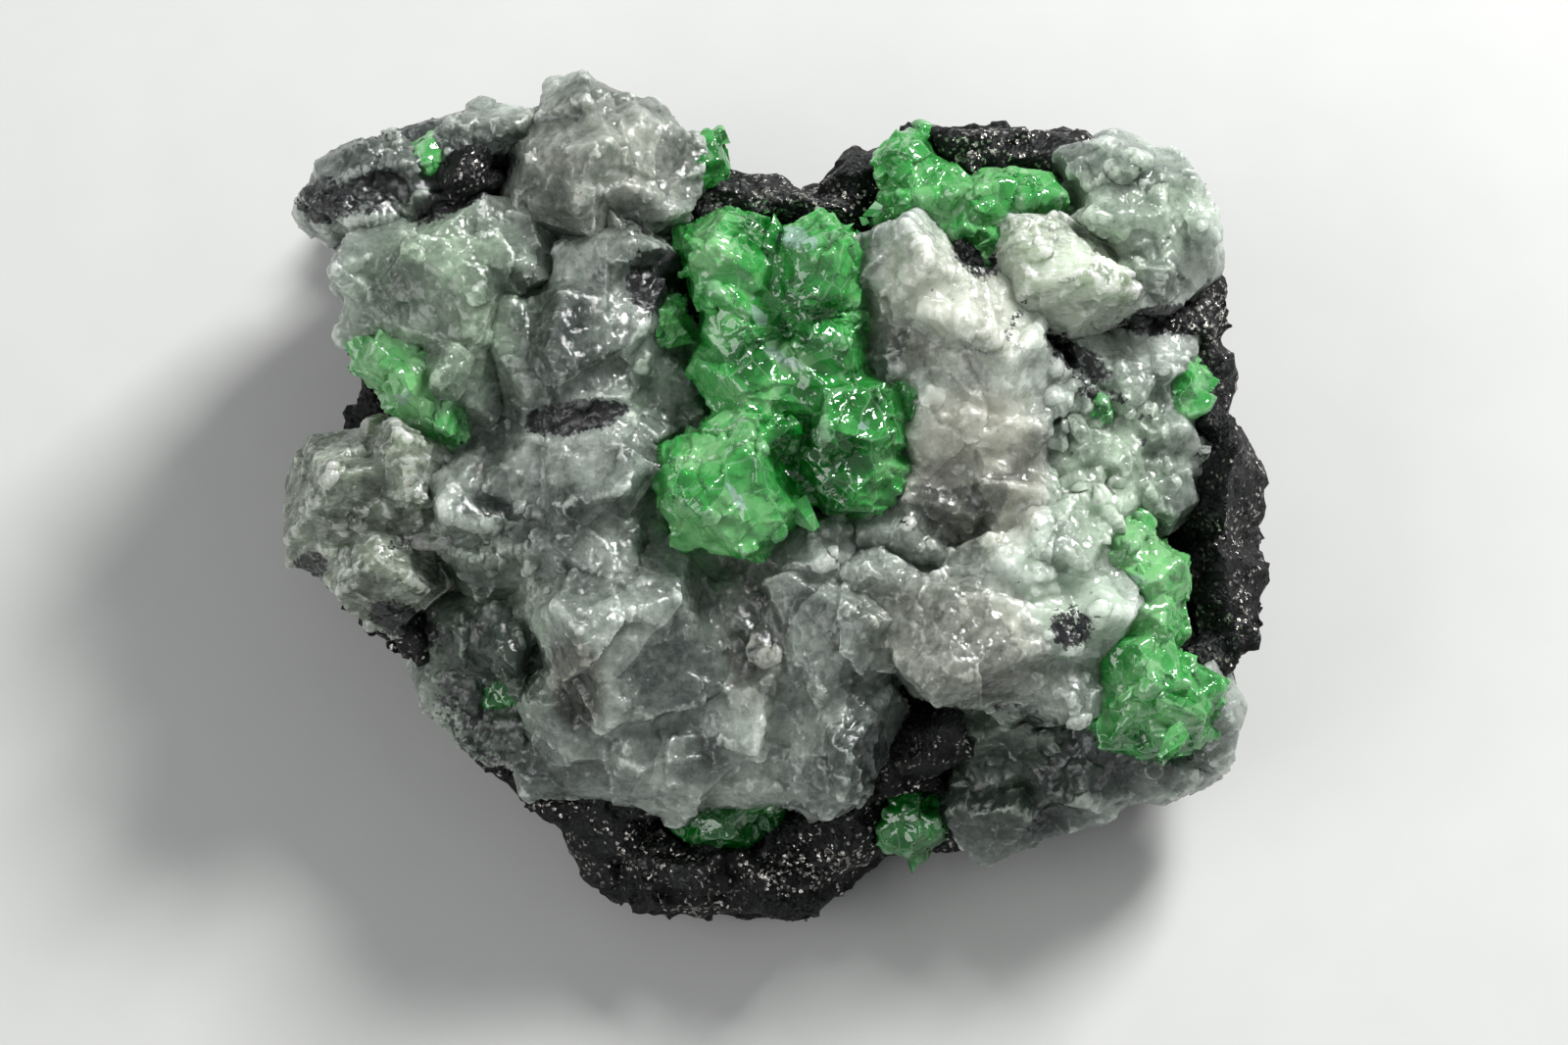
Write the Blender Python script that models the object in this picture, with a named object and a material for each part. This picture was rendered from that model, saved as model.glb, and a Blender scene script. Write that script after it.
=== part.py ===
"""A hand specimen of tsavorite garnet, 24 x 22 x 13 mm.

Green garnets and pale crystals stand in a mass of quartz on black graphite rock.
Every crystal is a block with flat faces, hewn by planes, and the crystals that have
grown together are joined in one solid. Each mineral grain fills its own socket.

Places are given on the crystal face, in millimetres: u to the right, v up the face,
and w out of it. The face leans back from level, and the stone rests on its back.
"""

import math
import random

import bmesh
import bpy
from mathutils import Euler, Matrix, Vector

MM = 0.001
FACE_LEAN = math.radians(21)  # how far the face tips towards the front
FACE_CENTRE_HEIGHT = 8.15  # mm from the table to the middle of the face
SOCKET_GAP = 0.08  # mm between a grain and the socket that it fills
BACK_TAPER = 0.84  # how much narrower the stone is at its back than at its rim
TAPER_CENTRE = 7.5  # mm up the face, where the walls below lean in towards
TAPER_CURVE = 1.5  # above 1 the walls drop straight at first and lean in further down
SLIVERS_KEPT = 0.79  # share of the triangles left when the narrowest are closed up

# A grain is hewn from a blank whose half-width is 1, before it is stretched to its size.
BLANK = 4  # width of the uncut blank
FACETS = 11  # faces on an ordinary grain
FACET_WANDER = 0.22  # how far each face turns from its even spacing
FACET_REACH = (0.84, 1.0)  # how far out the faces of a grain are
GARNET_REACH = (0.8, 1.0)
GARNET_CHIPS = 2  # corners broken off each garnet
CHIP_REACH = (0.78, 0.92)
LONGEST_REACH = 1.45  # no corner of a grain is further out than this

# The broken walls, in millimetres.
DEEPEST_RECESS, LEDGE_DROP = 0.9, 0.9  # how the wall is stepped, inwards and down
WALL_BLOCKS = 34  # ledges and blocks that stand out of the walls, all the way round
BLOCK_DEPTHS = (2.8, 4.4, 6.2, 8.0)  # how far below the rim they are
BLOCK_OUT, BLOCK_ALONG, BLOCK_DEEP = (1.0, 1.6), (1.3, 2.4), (1.2, 2.4)  # half-widths
BLOCK_SUNK = 0.7  # share of the half-width that is sunk in the wall

# Chips along the lower edge, which leave a smaller face to rest on.
EDGE_CHIPS = 9
CHIP_INSET = 1.3  # mm from the wall to the chip's edge, on the table
CHIP_SPREAD = (0.7, 1.3)  # how much each chip's own inset differs
CHIP_SLOPE = 0.9  # how far a chip faces down for each unit that it faces out
EDGE_ZONE = 2.0  # mm from the table that count as the lower edge
BACK_EDGE = 0.8  # a chip that faces this far to the back is left out: that edge is whole
FAR = 60  # mm, well outside the stone

# sRGB colours, roughness
FINISHES = {
    "graphite": ((0.10, 0.10, 0.105), 0.45),
    "quartz": ((0.62, 0.61, 0.58), 0.35),
    "pale": ((0.66, 0.70, 0.62), 0.30),
    "garnet": ((0.20, 0.58, 0.28), 0.15),
}

# The rim: the outline of the stone seen square to its face, clockwise from the left
# corner, as (u, v, w). The host rock reaches it where no crystal does.
RIM = [
    (-11.25, 7.3, -2.6), (-10.6, 8.25, -2.2), (-9.3, 8.45, -2.0), (-8.0, 8.9, -1.9),
    (-6.9, 9.3, -2.0), (-5.7, 9.6, -2.2), (-4.6, 9.8, -2.0), (-3.2, 9.45, -2.2),
    (-2.0, 8.7, -2.4), (-0.9, 7.95, -2.6), (0.2, 7.5, -2.8), (1.2, 7.8, -2.8),
    (2.3, 8.6, -2.4), (3.3, 8.95, -2.2), (5.2, 9.05, -2.0), (7.0, 8.85, -2.0),
    (8.6, 8.5, -2.2), (9.9, 7.9, -2.4), (10.5, 6.9, -2.6), (10.7, 5.2, -2.8),
    (10.9, 3.4, -3.0), (11.2, 1.9, -3.4), (11.7, 0.6, -3.8), (11.9, -0.9, -4.0),
    (11.8, -2.4, -4.1), (11.3, -3.6, -4.1), (11.0, -5.2, -3.9), (10.4, -6.4, -3.8),
    (8.6, -7.3, -3.9), (6.8, -7.5, -4.0), (5.7, -8.4, -4.1), (4.6, -8.6, -4.1),
    (2.8, -8.6, -4.1), (1.6, -9.5, -4.2), (0.2, -10.2, -4.2), (-1.6, -10.1, -4.2),
    (-3.0, -9.75, -4.2), (-4.4, -8.8, -4.1), (-5.8, -7.8, -4.1), (-6.9, -6.5, -4.1),
    (-8.2, -5.3, -4.1), (-8.7, -3.8, -4.0), (-10.0, -3.0, -4.0), (-11.2, -1.9, -3.8),
    (-11.8, -0.6, -3.6), (-11.7, 0.5, -3.4), (-10.5, 1.6, -3.0), (-10.0, 3.0, -2.8),
    (-10.4, 4.8, -2.6), (-10.6, 6.0, -2.6),
]
RIM_DEPTHS = (0.0, 2.4, 4.6, 6.8, 9.4, 12.5)  # mm below the rim, ring by ring
FLOOR_INSET = 0.82  # the ring of the rock floor under the crystals, as a share
FLOOR_RISE = 0.7  # mm that the floor stands above the rim

# Grains, as (u, v, w, half-width, half-height, half-depth, turn in degrees).
GARNETS = {
    "garnet_centre": [
        (-1.06, 5.6, 0.1, 1.15, 1.35, 1.7, 10), (1.13, 5.6, 0.5, 1.15, 1.3, 1.8, -8),
        (1.3, 3.9, 0.1, 1.05, 1.2, 1.6, 0), (-0.9, 4.3, 0.2, 1.05, 1.0, 1.5, 25),
        (-0.4, 3.0, 0.0, 1.75, 1.1, 1.5, -32), (0.7, 3.2, 0.7, 1.05, 0.55, 0.9, -35),
        (1.9, 1.95, 0.3, 1.35, 1.15, 1.7, 15), (1.85, 0.85, 0.15, 1.3, 1.15, 1.6, -10),
        (-1.2, 0.3, 0.5, 1.75, 1.45, 1.8, -15), (-0.5, 1.75, 0.2, 0.95, 0.95, 1.4, 30),
        (-2.2, 0.75, 0.1, 0.85, 0.75, 1.2, 0),
    ],
    "garnet_splinter": [(-2.5, 4.35, -0.1, 0.5, 0.65, 0.9, 35)],
    "garnet_sliver": [(3.5, 2.45, 0.35, 0.42, 0.6, 0.7, -30)],
    "garnet_notch": [(-1.7, 8.25, -1.3, 0.6, 0.6, 1.1, -20)],
    "garnet_upper_left": [
        (-8.3, 8.3, -1.0, 0.55, 0.55, 1.0, 45), (-8.65, 7.95, -1.1, 0.5, 0.4, 0.9, 0),
    ],
    "garnet_upper_right": [
        (3.3, 8.1, -0.7, 0.7, 0.85, 1.2, 20), (4.0, 7.4, -0.5, 1.05, 0.8, 1.2, -25),
        (5.2, 7.25, -0.5, 1.0, 0.8, 1.2, 10), (6.3, 7.4, -0.7, 0.95, 0.65, 1.1, -20),
        (3.15, 7.3, -0.6, 0.65, 0.6, 1.0, 0), (5.5, 6.3, -0.7, 0.75, 0.95, 1.1, 0),
        (4.65, 6.8, -0.5, 0.7, 0.6, 1.1, 30),
    ],
    "garnet_left": [
        (-9.2, 3.5, -0.7, 0.85, 0.8, 1.3, 0), (-8.55, 2.75, -0.5, 1.1, 0.85, 1.3, -45),
        (-8.0, 2.1, -0.7, 0.65, 0.6, 1.1, -30),
    ],
    "garnet_lower_right": [
        (8.55, -1.0, -0.7, 0.8, 0.65, 1.2, -20), (9.15, -1.8, -0.5, 0.85, 0.9, 1.3, 0),
        (9.15, -2.8, -0.6, 0.75, 0.85, 1.3, 0), (8.85, -3.9, -0.5, 1.15, 1.0, 1.5, 10),
        (9.7, -4.6, -0.8, 1.05, 1.0, 1.5, -20), (8.5, -4.95, -0.9, 1.15, 0.9, 1.5, 0),
        (9.4, -5.55, -1.3, 1.2, 0.65, 1.3, 0),
    ],
    "garnet_bottom": [
        (-1.35, -7.6, -2.8, 1.4, 0.75, 1.4, -8), (-0.45, -7.05, -2.4, 0.7, 0.65, 1.2, 0),
    ],
    "garnet_bottom_right": [(3.3, -7.7, -3.4, 1.0, 0.9, 1.5, 0)],
    "garnet_lower_left": [(-6.5, -4.6, -2.5, 0.8, 0.55, 1.3, 0)],
    "garnet_chip": [(7.75, 2.25, -0.9, 0.35, 0.5, 0.9, 20)],
    "garnet_right_small": [(9.95, 2.75, -1.6, 0.45, 0.8, 1.1, 5)],
}
PALE_CRYSTALS = {
    "pale_crystal_right": [
        (6.95, 5.5, -0.1, 1.5, 1.15, 1.6, -32), (6.1, 6.0, -0.2, 0.8, 0.85, 1.4, 0),
    ],
    "pale_crystal_left": [
        (-10.0, 0.2, -1.6, 1.75, 1.45, 2.2, 15), (-8.95, 0.8, -1.0, 1.1, 1.1, 1.8, 0),
        (-9.3, -1.75, -1.8, 1.4, 1.1, 2.0, -10), (-10.75, -0.8, -2.5, 1.0, 1.0, 1.8, 0),
        (-8.6, -0.6, -1.5, 0.9, 0.9, 1.5, 0),
    ],
}
QUARTZ_MASSES = {
    "quartz_tooth": [
        (-4.75, 9.1, -0.9, 0.85, 1.05, 1.7, 0), (-4.7, 7.9, -0.2, 1.4, 1.4, 1.9, 30),
        (-5.5, 7.9, -0.6, 0.8, 1.25, 1.6, -25), (-3.4, 8.5, -0.7, 1.1, 1.15, 1.7, -20),
        (-2.6, 8.0, -1.1, 0.9, 0.85, 1.5, 0), (-3.3, 7.2, -0.5, 1.35, 0.7, 1.4, 0),
    ],
    "quartz_right": [
        (3.3, 5.5, 0.2, 1.15, 1.3, 1.8, 20), (4.6, 4.5, 0.2, 1.5, 1.2, 1.8, -35),
        (3.15, 3.6, -0.5, 1.0, 1.05, 1.5, 0), (5.4, 3.2, 0.0, 1.35, 1.3, 1.8, 10),
        (4.2, 1.9, -0.4, 1.3, 1.4, 1.6, -20), (5.7, 1.6, -0.2, 1.1, 1.35, 1.6, 0),
        (4.35, 0.3, -0.8, 1.35, 1.1, 1.5, -25), (5.7, 0.1, -0.4, 1.1, 1.15, 1.6, 0),
        (3.2, -0.75, -0.7, 1.35, 0.7, 1.4, -10),
    ],
    "quartz_lower_right": [
        (6.85, -1.1, -0.3, 1.45, 1.3, 1.8, 0), (7.45, -2.6, -0.5, 1.3, 1.5, 1.7, 15),
        (5.7, -1.7, 0.0, 1.4, 0.9, 1.6, -10), (4.6, -3.2, 0.1, 2.1, 1.5, 1.9, -18),
        (2.7, -1.85, -0.2, 1.2, 0.7, 1.5, -25), (7.0, -4.3, -0.9, 1.3, 0.95, 1.5, 0),
        (6.0, -4.1, -0.6, 1.2, 1.0, 1.5, 20),
    ],
    "quartz_centre_left": [
        (-4.0, 5.6, -0.5, 1.6, 1.25, 1.7, 15), (-4.7, 4.1, -0.1, 1.45, 1.4, 1.8, -25),
        (-5.9, 3.6, -0.4, 1.2, 1.7, 1.6, 10), (-3.5, 4.3, -0.7, 1.2, 1.5, 1.5, 0),
        (-4.7, 2.6, -0.6, 1.6, 1.3, 1.5, 0), (-4.2, 0.6, -0.2, 1.5, 1.6, 1.8, -15),
        (-5.9, 0.8, -0.9, 1.3, 1.3, 1.5, 20), (-7.1, 0.3, -1.2, 1.1, 1.3, 1.5, 0),
        (-3.3, 1.8, -0.8, 1.0, 0.9, 1.4, 30), (-6.8, -1.35, -1.5, 1.3, 1.2, 1.5, -15),
        (-2.5, 2.9, -1.2, 1.1, 1.25, 1.4, 0), (-4.3, -1.2, -0.5, 1.6, 1.0, 1.6, 0),
        (-5.8, -0.8, -1.1, 1.0, 1.1, 1.5, 0),
    ],
    "quartz_lower": [
        (-3.5, -3.2, -0.4, 2.1, 2.1, 2.3, 8), (-4.7, -2.5, -0.7, 1.2, 1.3, 1.8, 0),
        (-4.7, -4.9, -1.1, 1.15, 1.6, 1.8, -8), (-2.4, -6.0, -1.3, 1.5, 1.2, 1.7, -20),
        (-5.4, -6.2, -2.2, 0.8, 0.9, 1.5, 0), (-0.6, -2.9, -1.2, 1.0, 1.7, 1.6, 5),
        (-0.6, -5.0, -0.9, 0.85, 1.3, 1.5, -25), (1.6, -3.2, -0.6, 1.65, 1.8, 2.1, 10),
        (1.4, -5.3, -1.1, 1.5, 1.6, 1.8, -10), (1.2, -6.7, -1.9, 0.95, 0.9, 1.4, 20),
        (1.1, -1.15, -0.9, 1.5, 0.7, 1.4, 0),
    ],
    "quartz_left_block": [
        (-8.0, 5.3, -0.9, 2.0, 1.65, 2.2, 6), (-9.5, 5.75, -1.3, 1.1, 1.3, 1.9, -10),
        (-6.8, 6.0, -0.6, 1.6, 1.2, 1.7, -8), (-7.4, 3.3, -0.9, 1.1, 1.6, 1.7, 20),
        (-9.5, 2.5, -2.0, 0.6, 0.8, 1.5, 0),
    ],
    "quartz_upper_right": [
        (8.0, 8.0, -1.1, 1.1, 0.8, 1.4, 0), (9.35, 7.6, -1.3, 1.1, 0.75, 1.4, -20),
        (8.7, 6.7, -0.7, 1.5, 0.9, 1.5, -10), (9.9, 6.3, -1.3, 0.75, 1.1, 1.4, 0),
        (8.9, 5.4, -0.9, 1.2, 0.8, 1.4, 10),
    ],
    "quartz_right_grains": [
        (7.5, 3.4, -1.2, 0.8, 0.75, 1.2, 10), (8.5, 2.7, -1.2, 0.75, 0.8, 1.2, -20),
        (9.4, 1.7, -1.5, 0.75, 0.85, 1.2, 15), (8.3, 1.1, -1.1, 0.75, 0.8, 1.2, -15),
        (7.3, 1.1, -0.9, 0.75, 0.85, 1.2, 0), (9.35, 0.3, -1.5, 0.85, 0.85, 1.2, 25),
        (8.2, -0.1, -1.0, 0.8, 0.7, 1.2, 0), (6.9, 2.3, -0.9, 0.7, 0.75, 1.2, -30),
        (9.4, 3.7, -1.5, 0.85, 0.7, 1.2, 0), (7.2, 0.1, -0.8, 0.65, 0.65, 1.2, 20),
    ],
    "quartz_upper_left": [
        (-10.25, 7.95, -1.5, 0.9, 0.65, 1.2, 15), (-9.2, 8.2, -1.1, 1.0, 0.55, 1.2, 0),
        (-10.75, 7.2, -2.1, 0.6, 0.85, 1.2, 0), (-9.7, 7.1, -1.3, 1.3, 0.65, 1.2, -8),
        (-6.9, 8.8, -1.1, 1.3, 0.75, 1.3, 5), (-8.3, 7.3, -1.1, 1.1, 0.6, 1.2, 0),
        (-7.6, 8.2, -1.2, 0.8, 0.6, 1.2, 0),
    ],
    "quartz_lower_left": [
        (-7.5, -3.0, -2.3, 1.1, 1.2, 1.5, 0), (-6.3, -3.1, -1.5, 0.9, 1.3, 1.5, -20),
        (-7.6, -4.3, -2.9, 0.9, 1.0, 1.5, 0), (-5.9, -5.6, -2.3, 0.95, 0.7, 1.4, 15),
        (-7.1, -5.2, -3.2, 0.9, 0.85, 1.4, -30), (-6.4, -5.1, -2.9, 0.9, 0.8, 1.3, 0),
    ],
    "quartz_foot": [
        (5.4, -7.1, -2.9, 1.2, 1.25, 1.6, 0), (7.3, -6.2, -2.7, 1.8, 1.2, 1.6, 10),
        (9.3, -6.5, -3.0, 1.4, 0.7, 1.3, 8), (5.6, -5.4, -2.1, 1.4, 1.0, 1.4, 0),
        (10.65, -5.0, -2.4, 0.6, 1.2, 1.4, 10),
    ],
}
GRAPHITE_LUMPS = [
    (-0.7, 7.3, -1.9, 1.6, 0.55, 1.1, 5), (1.4, 7.0, -1.9, 1.7, 0.5, 1.2, -6),
    (2.1, 7.75, -2.2, 0.9, 0.75, 1.2, 20), (5.0, 8.4, -1.8, 2.2, 0.7, 1.3, 0),
    (7.0, 8.2, -1.8, 0.9, 0.75, 1.2, 0), (-7.4, 7.65, -1.0, 1.3, 0.42, 1.2, 24),
    (9.7, 4.4, -1.7, 1.2, 0.45, 1.1, 0), (6.9, 4.0, -1.4, 0.9, 0.4, 1.1, -20),
    (7.8, 2.9, -1.3, 0.8, 0.35, 1.1, 0), (4.8, 6.0, -0.9, 0.4, 0.7, 1.1, 35),
    (3.95, -5.75, -1.1, 0.95, 0.8, 1.3, 10), (7.1, -3.0, 0.65, 0.38, 0.36, 0.9, 0),
    (10.75, 0.4, -2.8, 0.95, 1.6, 1.8, 0), (10.85, -2.0, -3.0, 0.95, 1.6, 1.9, 10),
    (10.5, -3.9, -3.0, 0.8, 1.2, 1.6, 0), (10.5, 2.6, -2.6, 0.6, 1.4, 1.5, 0),
    (10.4, 4.7, -2.4, 0.5, 1.3, 1.4, 0), (-4.0, -7.7, -3.4, 1.6, 1.1, 1.5, -20),
    (-2.2, -8.8, -3.7, 1.7, 1.15, 1.6, 0), (0.1, -8.85, -3.7, 1.8, 1.2, 1.6, 10),
    (1.7, -7.95, -3.4, 1.2, 1.0, 1.4, 25), (-3.3, -6.9, -2.6, 1.2, 0.7, 1.2, 0),
    (-9.1, -2.7, -3.2, 0.9, 0.65, 1.4, -35), (2.9, -6.4, -2.6, 1.3, 0.8, 1.3, 0),
]

rng = random.Random(24)
built = {}  # node name to its finished object
lumps_of = {}  # node name to the recipes of its lumps, for the sockets of its neighbours


def clear_scene():
    for obj in list(bpy.data.objects):
        bpy.data.objects.remove(obj)


def new_collection(name, hidden=False):
    collection = bpy.data.collections.new(name)
    collection.hide_render = hidden
    bpy.context.scene.collection.children.link(collection)
    return collection


def as_object(bm, name, collection):
    """Turns a finished bmesh into an object in this collection."""
    bmesh.ops.recalc_face_normals(bm, faces=bm.faces)
    mesh = bpy.data.meshes.new(name)
    bm.to_mesh(mesh)
    bm.free()
    obj = bpy.data.objects.new(name, mesh)
    collection.objects.link(obj)
    return obj


def finish_of(name):
    """A Principled material with the mineral's colour and roughness."""
    colour, roughness = FINISHES[name]
    material = bpy.data.materials.new(name)
    material.use_nodes = True
    shader = material.node_tree.nodes["Principled BSDF"]
    shader.inputs["Base Color"].default_value = (*colour, 1)
    shader.inputs["Roughness"].default_value = roughness
    shader.inputs["Metallic"].default_value = 0.0
    return material


def face_directions(count):
    """Directions spread evenly round a ball, each moved a little, and how far out each face is."""
    golden = math.pi * (3 - math.sqrt(5))
    spin = rng.uniform(0, math.tau)
    for k in range(count):
        height = 1 - 2 * (k + 0.5) / count
        across = math.sqrt(1 - height * height)
        angle = k * golden + spin
        wander = Vector((rng.uniform(-1, 1), rng.uniform(-1, 1), rng.uniform(-1, 1)))
        direction = Vector((across * math.cos(angle), across * math.sin(angle), height))
        yield (direction + FACET_WANDER * wander).normalized(), rng.uniform(*FACET_REACH)


def dodecahedron_directions():
    """The twelve faces of a garnet's rhombic dodecahedron, turned any way, and its chipped corners."""
    turn = Euler([rng.uniform(0, math.tau) for _ in range(3)]).to_matrix()
    for a, b, c in ((0, 1, 1), (0, 1, -1), (1, 0, 1), (1, 0, -1), (1, 1, 0), (1, -1, 0)):
        for side in (1, -1):
            yield turn @ Vector((a, b, c)).normalized() * side, rng.uniform(*GARNET_REACH)
    for _ in range(GARNET_CHIPS):
        chip = Vector((rng.gauss(0, 1), rng.gauss(0, 1), rng.gauss(0, 1))).normalized()
        yield chip, rng.uniform(*CHIP_REACH)


def recipe(place, garnet):
    """What it takes to hew one grain, kept so that its socket is hewn alike."""
    faces = list(dodecahedron_directions() if garnet else face_directions(FACETS))
    return place, faces


def hewn(grain, grow, collection):
    """One convex block, cut from a cube by its face planes and placed on the crystal face."""
    (u, v, w, half_u, half_v, half_w, turn), faces = grain
    bm = bmesh.new()
    bmesh.ops.create_cube(bm, size=BLANK)
    for normal, reach in faces:
        everything = bm.verts[:] + bm.edges[:] + bm.faces[:]
        cut = bmesh.ops.bisect_plane(
            bm, geom=everything, plane_co=normal * reach, plane_no=normal, clear_outer=True
        )
        edges = [e for e in cut["geom_cut"] if isinstance(e, bmesh.types.BMEdge)]
        if edges:
            bmesh.ops.edgeloop_fill(bm, edges=edges)
    halves = Matrix.Diagonal((half_u + grow, half_v + grow, half_w + grow, 1))
    spin = Matrix.Rotation(math.radians(turn), 4, "Z")
    bmesh.ops.transform(bm, matrix=Matrix.Translation((u, v, w)) @ spin @ halves, verts=bm.verts)
    return as_object(bm, "grain", collection)


def combine(obj, others, operation):
    """Joins the others to obj, cuts them from it, or keeps what they share, and removes them."""
    if not others:
        return
    cutters = new_collection("cutters", hidden=True)
    for other in others:
        other.display_type = "WIRE"
        cutters.objects.link(other)
    modifier = obj.modifiers.new(operation.lower(), "BOOLEAN")
    modifier.operation = operation
    modifier.operand_type = "COLLECTION"
    modifier.collection = cutters
    modifier.solver = "EXACT"
    graph = bpy.context.evaluated_depsgraph_get()
    mesh = bpy.data.meshes.new_from_object(obj.evaluated_get(graph))
    obj.modifiers.clear()
    obj.data = mesh
    for other in others:
        bpy.data.objects.remove(other)
    bpy.data.collections.remove(cutters)


def keep_largest(obj):
    """A cut can leave crumbs beside the stone, or touching it at a corner. They are swept away."""
    bm = bmesh.new()
    bm.from_mesh(obj.data)
    unseen = set(bm.faces)
    pieces = []
    while unseen:
        first = unseen.pop()
        piece, queue = {first}, [first]
        while queue:
            edges = [edge for edge in queue.pop().edges if len(edge.link_faces) == 2]
            near = {face for edge in edges for face in edge.link_faces} & unseen
            unseen -= near
            piece |= near
            queue.extend(near)
        pieces.append(piece)
    largest = max(pieces, key=volume_of)
    crumbs = [face for face in bm.faces if face not in largest]
    bmesh.ops.delete(bm, geom=crumbs, context="FACES")
    bm.to_mesh(obj.data)
    bm.free()


def volume_of(faces):
    """The volume inside these faces."""
    total = 0.0
    for face in faces:
        first = face.verts[0].co
        for one, two in zip(face.verts[1:-1], face.verts[2:]):
            total += first.dot(one.co.cross(two.co)) / 6
    return total


def reach_box(grain, grow=0.0):
    """A box that surely holds the grain, for skipping neighbours that can't touch."""
    u, v, w, half_u, half_v, half_w, _ = grain[0]
    across = LONGEST_REACH * (max(half_u, half_v) + grow)
    deep = LONGEST_REACH * (half_w + grow)
    return (u - across, v - across, w - deep), (u + across, v + across, w + deep)


def may_touch(one, two):
    (low_a, high_a), (low_b, high_b) = reach_box(one), reach_box(two, SOCKET_GAP)
    return all(low_a[k] <= high_b[k] and low_b[k] <= high_a[k] for k in range(3))


def build_grains(name, places, parts, garnet=False):
    """One solid from the grains of this mass, cut to fit the rock and the masses before it."""
    grains = [recipe(place, garnet) for place in places]
    first = hewn(grains[0], 0, parts)
    first.name = name
    combine(first, [hewn(grain, 0, parts) for grain in grains[1:]], "UNION")
    sockets = [
        hewn(other, SOCKET_GAP, parts)
        for others in lumps_of.values()
        for other in others
        if any(may_touch(grain, other) for grain in grains)
    ]
    combine(first, sockets + [rock_bed(SOCKET_GAP, parts)], "DIFFERENCE")
    keep_largest(first)
    built[name] = first
    lumps_of[name] = grains


def drawn_in(u, v, depth, recess=0.0):
    """A point of the rim, carried down the wall by this depth and set back by so many mm."""
    share = 1 - (1 - BACK_TAPER) * (depth / RIM_DEPTHS[-1]) ** TAPER_CURVE
    inward = -recess / math.hypot(u, v)
    return u * (share + inward), TAPER_CENTRE + (v - TAPER_CENTRE) * share + v * inward


def broken_ring(depth, picks):
    """One ring of the wall. Runs of a few points are set back and drop together, as rock breaks."""
    run = 0
    for u, v, w in RIM:
        if run == 0:
            run = picks.randint(2, 6)
            recess = picks.uniform(0.0, DEEPEST_RECESS)
            drop = picks.uniform(-LEDGE_DROP, LEDGE_DROP)
        run -= 1
        u, v = drawn_in(u, v, depth, recess if depth else 0.0)
        yield Vector((u, v, w - depth - (drop if depth else 0.0)))


def wall_blocks():
    """Places of the blocks that stand out of the walls, with their long side along the wall."""
    for k in range(WALL_BLOCKS):
        at = int((k + rng.uniform(-0.3, 0.3)) * len(RIM) / WALL_BLOCKS) % len(RIM)
        u, v, w = RIM[at]
        depth = rng.choice(BLOCK_DEPTHS)
        before, after = Vector(RIM[at - 1]), Vector(RIM[(at + 1) % len(RIM)])
        along = after - before
        outward = math.atan2(along.x, -along.y)
        half_out, half_along = rng.uniform(*BLOCK_OUT), rng.uniform(*BLOCK_ALONG)
        u, v = drawn_in(u, v, depth)
        u -= BLOCK_SUNK * half_out * math.cos(outward)
        v -= BLOCK_SUNK * half_out * math.sin(outward)
        half_deep = rng.uniform(*BLOCK_DEEP)
        yield u, v, w - depth, half_out, half_along, half_deep, math.degrees(outward)


def rock_bed(grow, parts):
    """The rock without its lumps: rings of the rim down to the back, and a floor for the crystals."""
    picks = random.Random(5)  # its own, so that a grown bed is the same bed
    bm = bmesh.new()
    rings = []
    for depth in RIM_DEPTHS:
        ring = []
        for spot in broken_ring(depth, picks):
            outward = Vector((spot.x, spot.y, 0)).normalized() * grow
            ring.append(bm.verts.new(spot + outward + Vector((0, 0, grow))))
        rings.append(ring)
    floor = [
        bm.verts.new((u * FLOOR_INSET, v * FLOOR_INSET, w + FLOOR_RISE + grow)) for u, v, w in RIM
    ]
    rings.insert(0, floor)
    for upper, lower in zip(rings, rings[1:]):
        for k in range(len(RIM)):
            following = (k + 1) % len(RIM)
            bm.faces.new((upper[k], lower[k], lower[following], upper[following]))
    for ring in (rings[0], rings[-1]):
        loop = [bm.edges.get((one, two)) for one, two in zip(ring, ring[1:] + ring[:1])]
        bmesh.ops.triangle_fill(bm, edges=loop, use_beauty=True)
    bmesh.ops.triangulate(bm, faces=bm.faces)
    return as_object(bm, "rock_bed", parts)


def close_slivers(obj):
    """Booleans leave long thin triangles. Closing up the narrowest hardly moves a face."""
    modifier = obj.modifiers.new("slivers", "DECIMATE")
    modifier.ratio = SLIVERS_KEPT
    graph = bpy.context.evaluated_depsgraph_get()
    mesh = bpy.data.meshes.new_from_object(obj.evaluated_get(graph))
    obj.modifiers.clear()
    obj.data = mesh


def outline_prism(parts):
    """The rim's outline carried straight through the stone, to keep the walls inside it."""
    bm = bmesh.new()
    top = bm.faces.new([bm.verts.new((u, v, FAR)) for u, v, _ in RIM])
    sides = bmesh.ops.extrude_face_region(bm, geom=[top])
    below = [vert for vert in sides["geom"] if isinstance(vert, bmesh.types.BMVert)]
    bmesh.ops.translate(bm, verts=below, vec=(0, 0, -2 * FAR))
    return as_object(bm, "outline_prism", parts)


def host_rock(parts):
    """The graphite rock: its bed, the lumps between the crystals, and the blocks on its walls."""
    rock = hewn(recipe(GRAPHITE_LUMPS[0], False), 0, parts)
    rock.name = "graphite_matrix"
    combine(rock, [hewn(recipe(p, False), 0, parts) for p in GRAPHITE_LUMPS[1:]], "UNION")
    sockets = [hewn(g, SOCKET_GAP, parts) for grains in lumps_of.values() for g in grains]
    combine(rock, sockets, "DIFFERENCE")
    blocks = [hewn(recipe(place, False), 0, parts) for place in wall_blocks()]
    near = [hewn(g, SOCKET_GAP, parts) for grains in lumps_of.values() for g in grains]
    walls = blocks[0]
    combine(walls, blocks[1:], "UNION")
    combine(walls, [outline_prism(parts)], "INTERSECT")
    combine(walls, near, "DIFFERENCE")
    combine(rock, [rock_bed(0, parts), walls], "UNION")
    keep_largest(rock)
    built["graphite_matrix"] = rock


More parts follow.
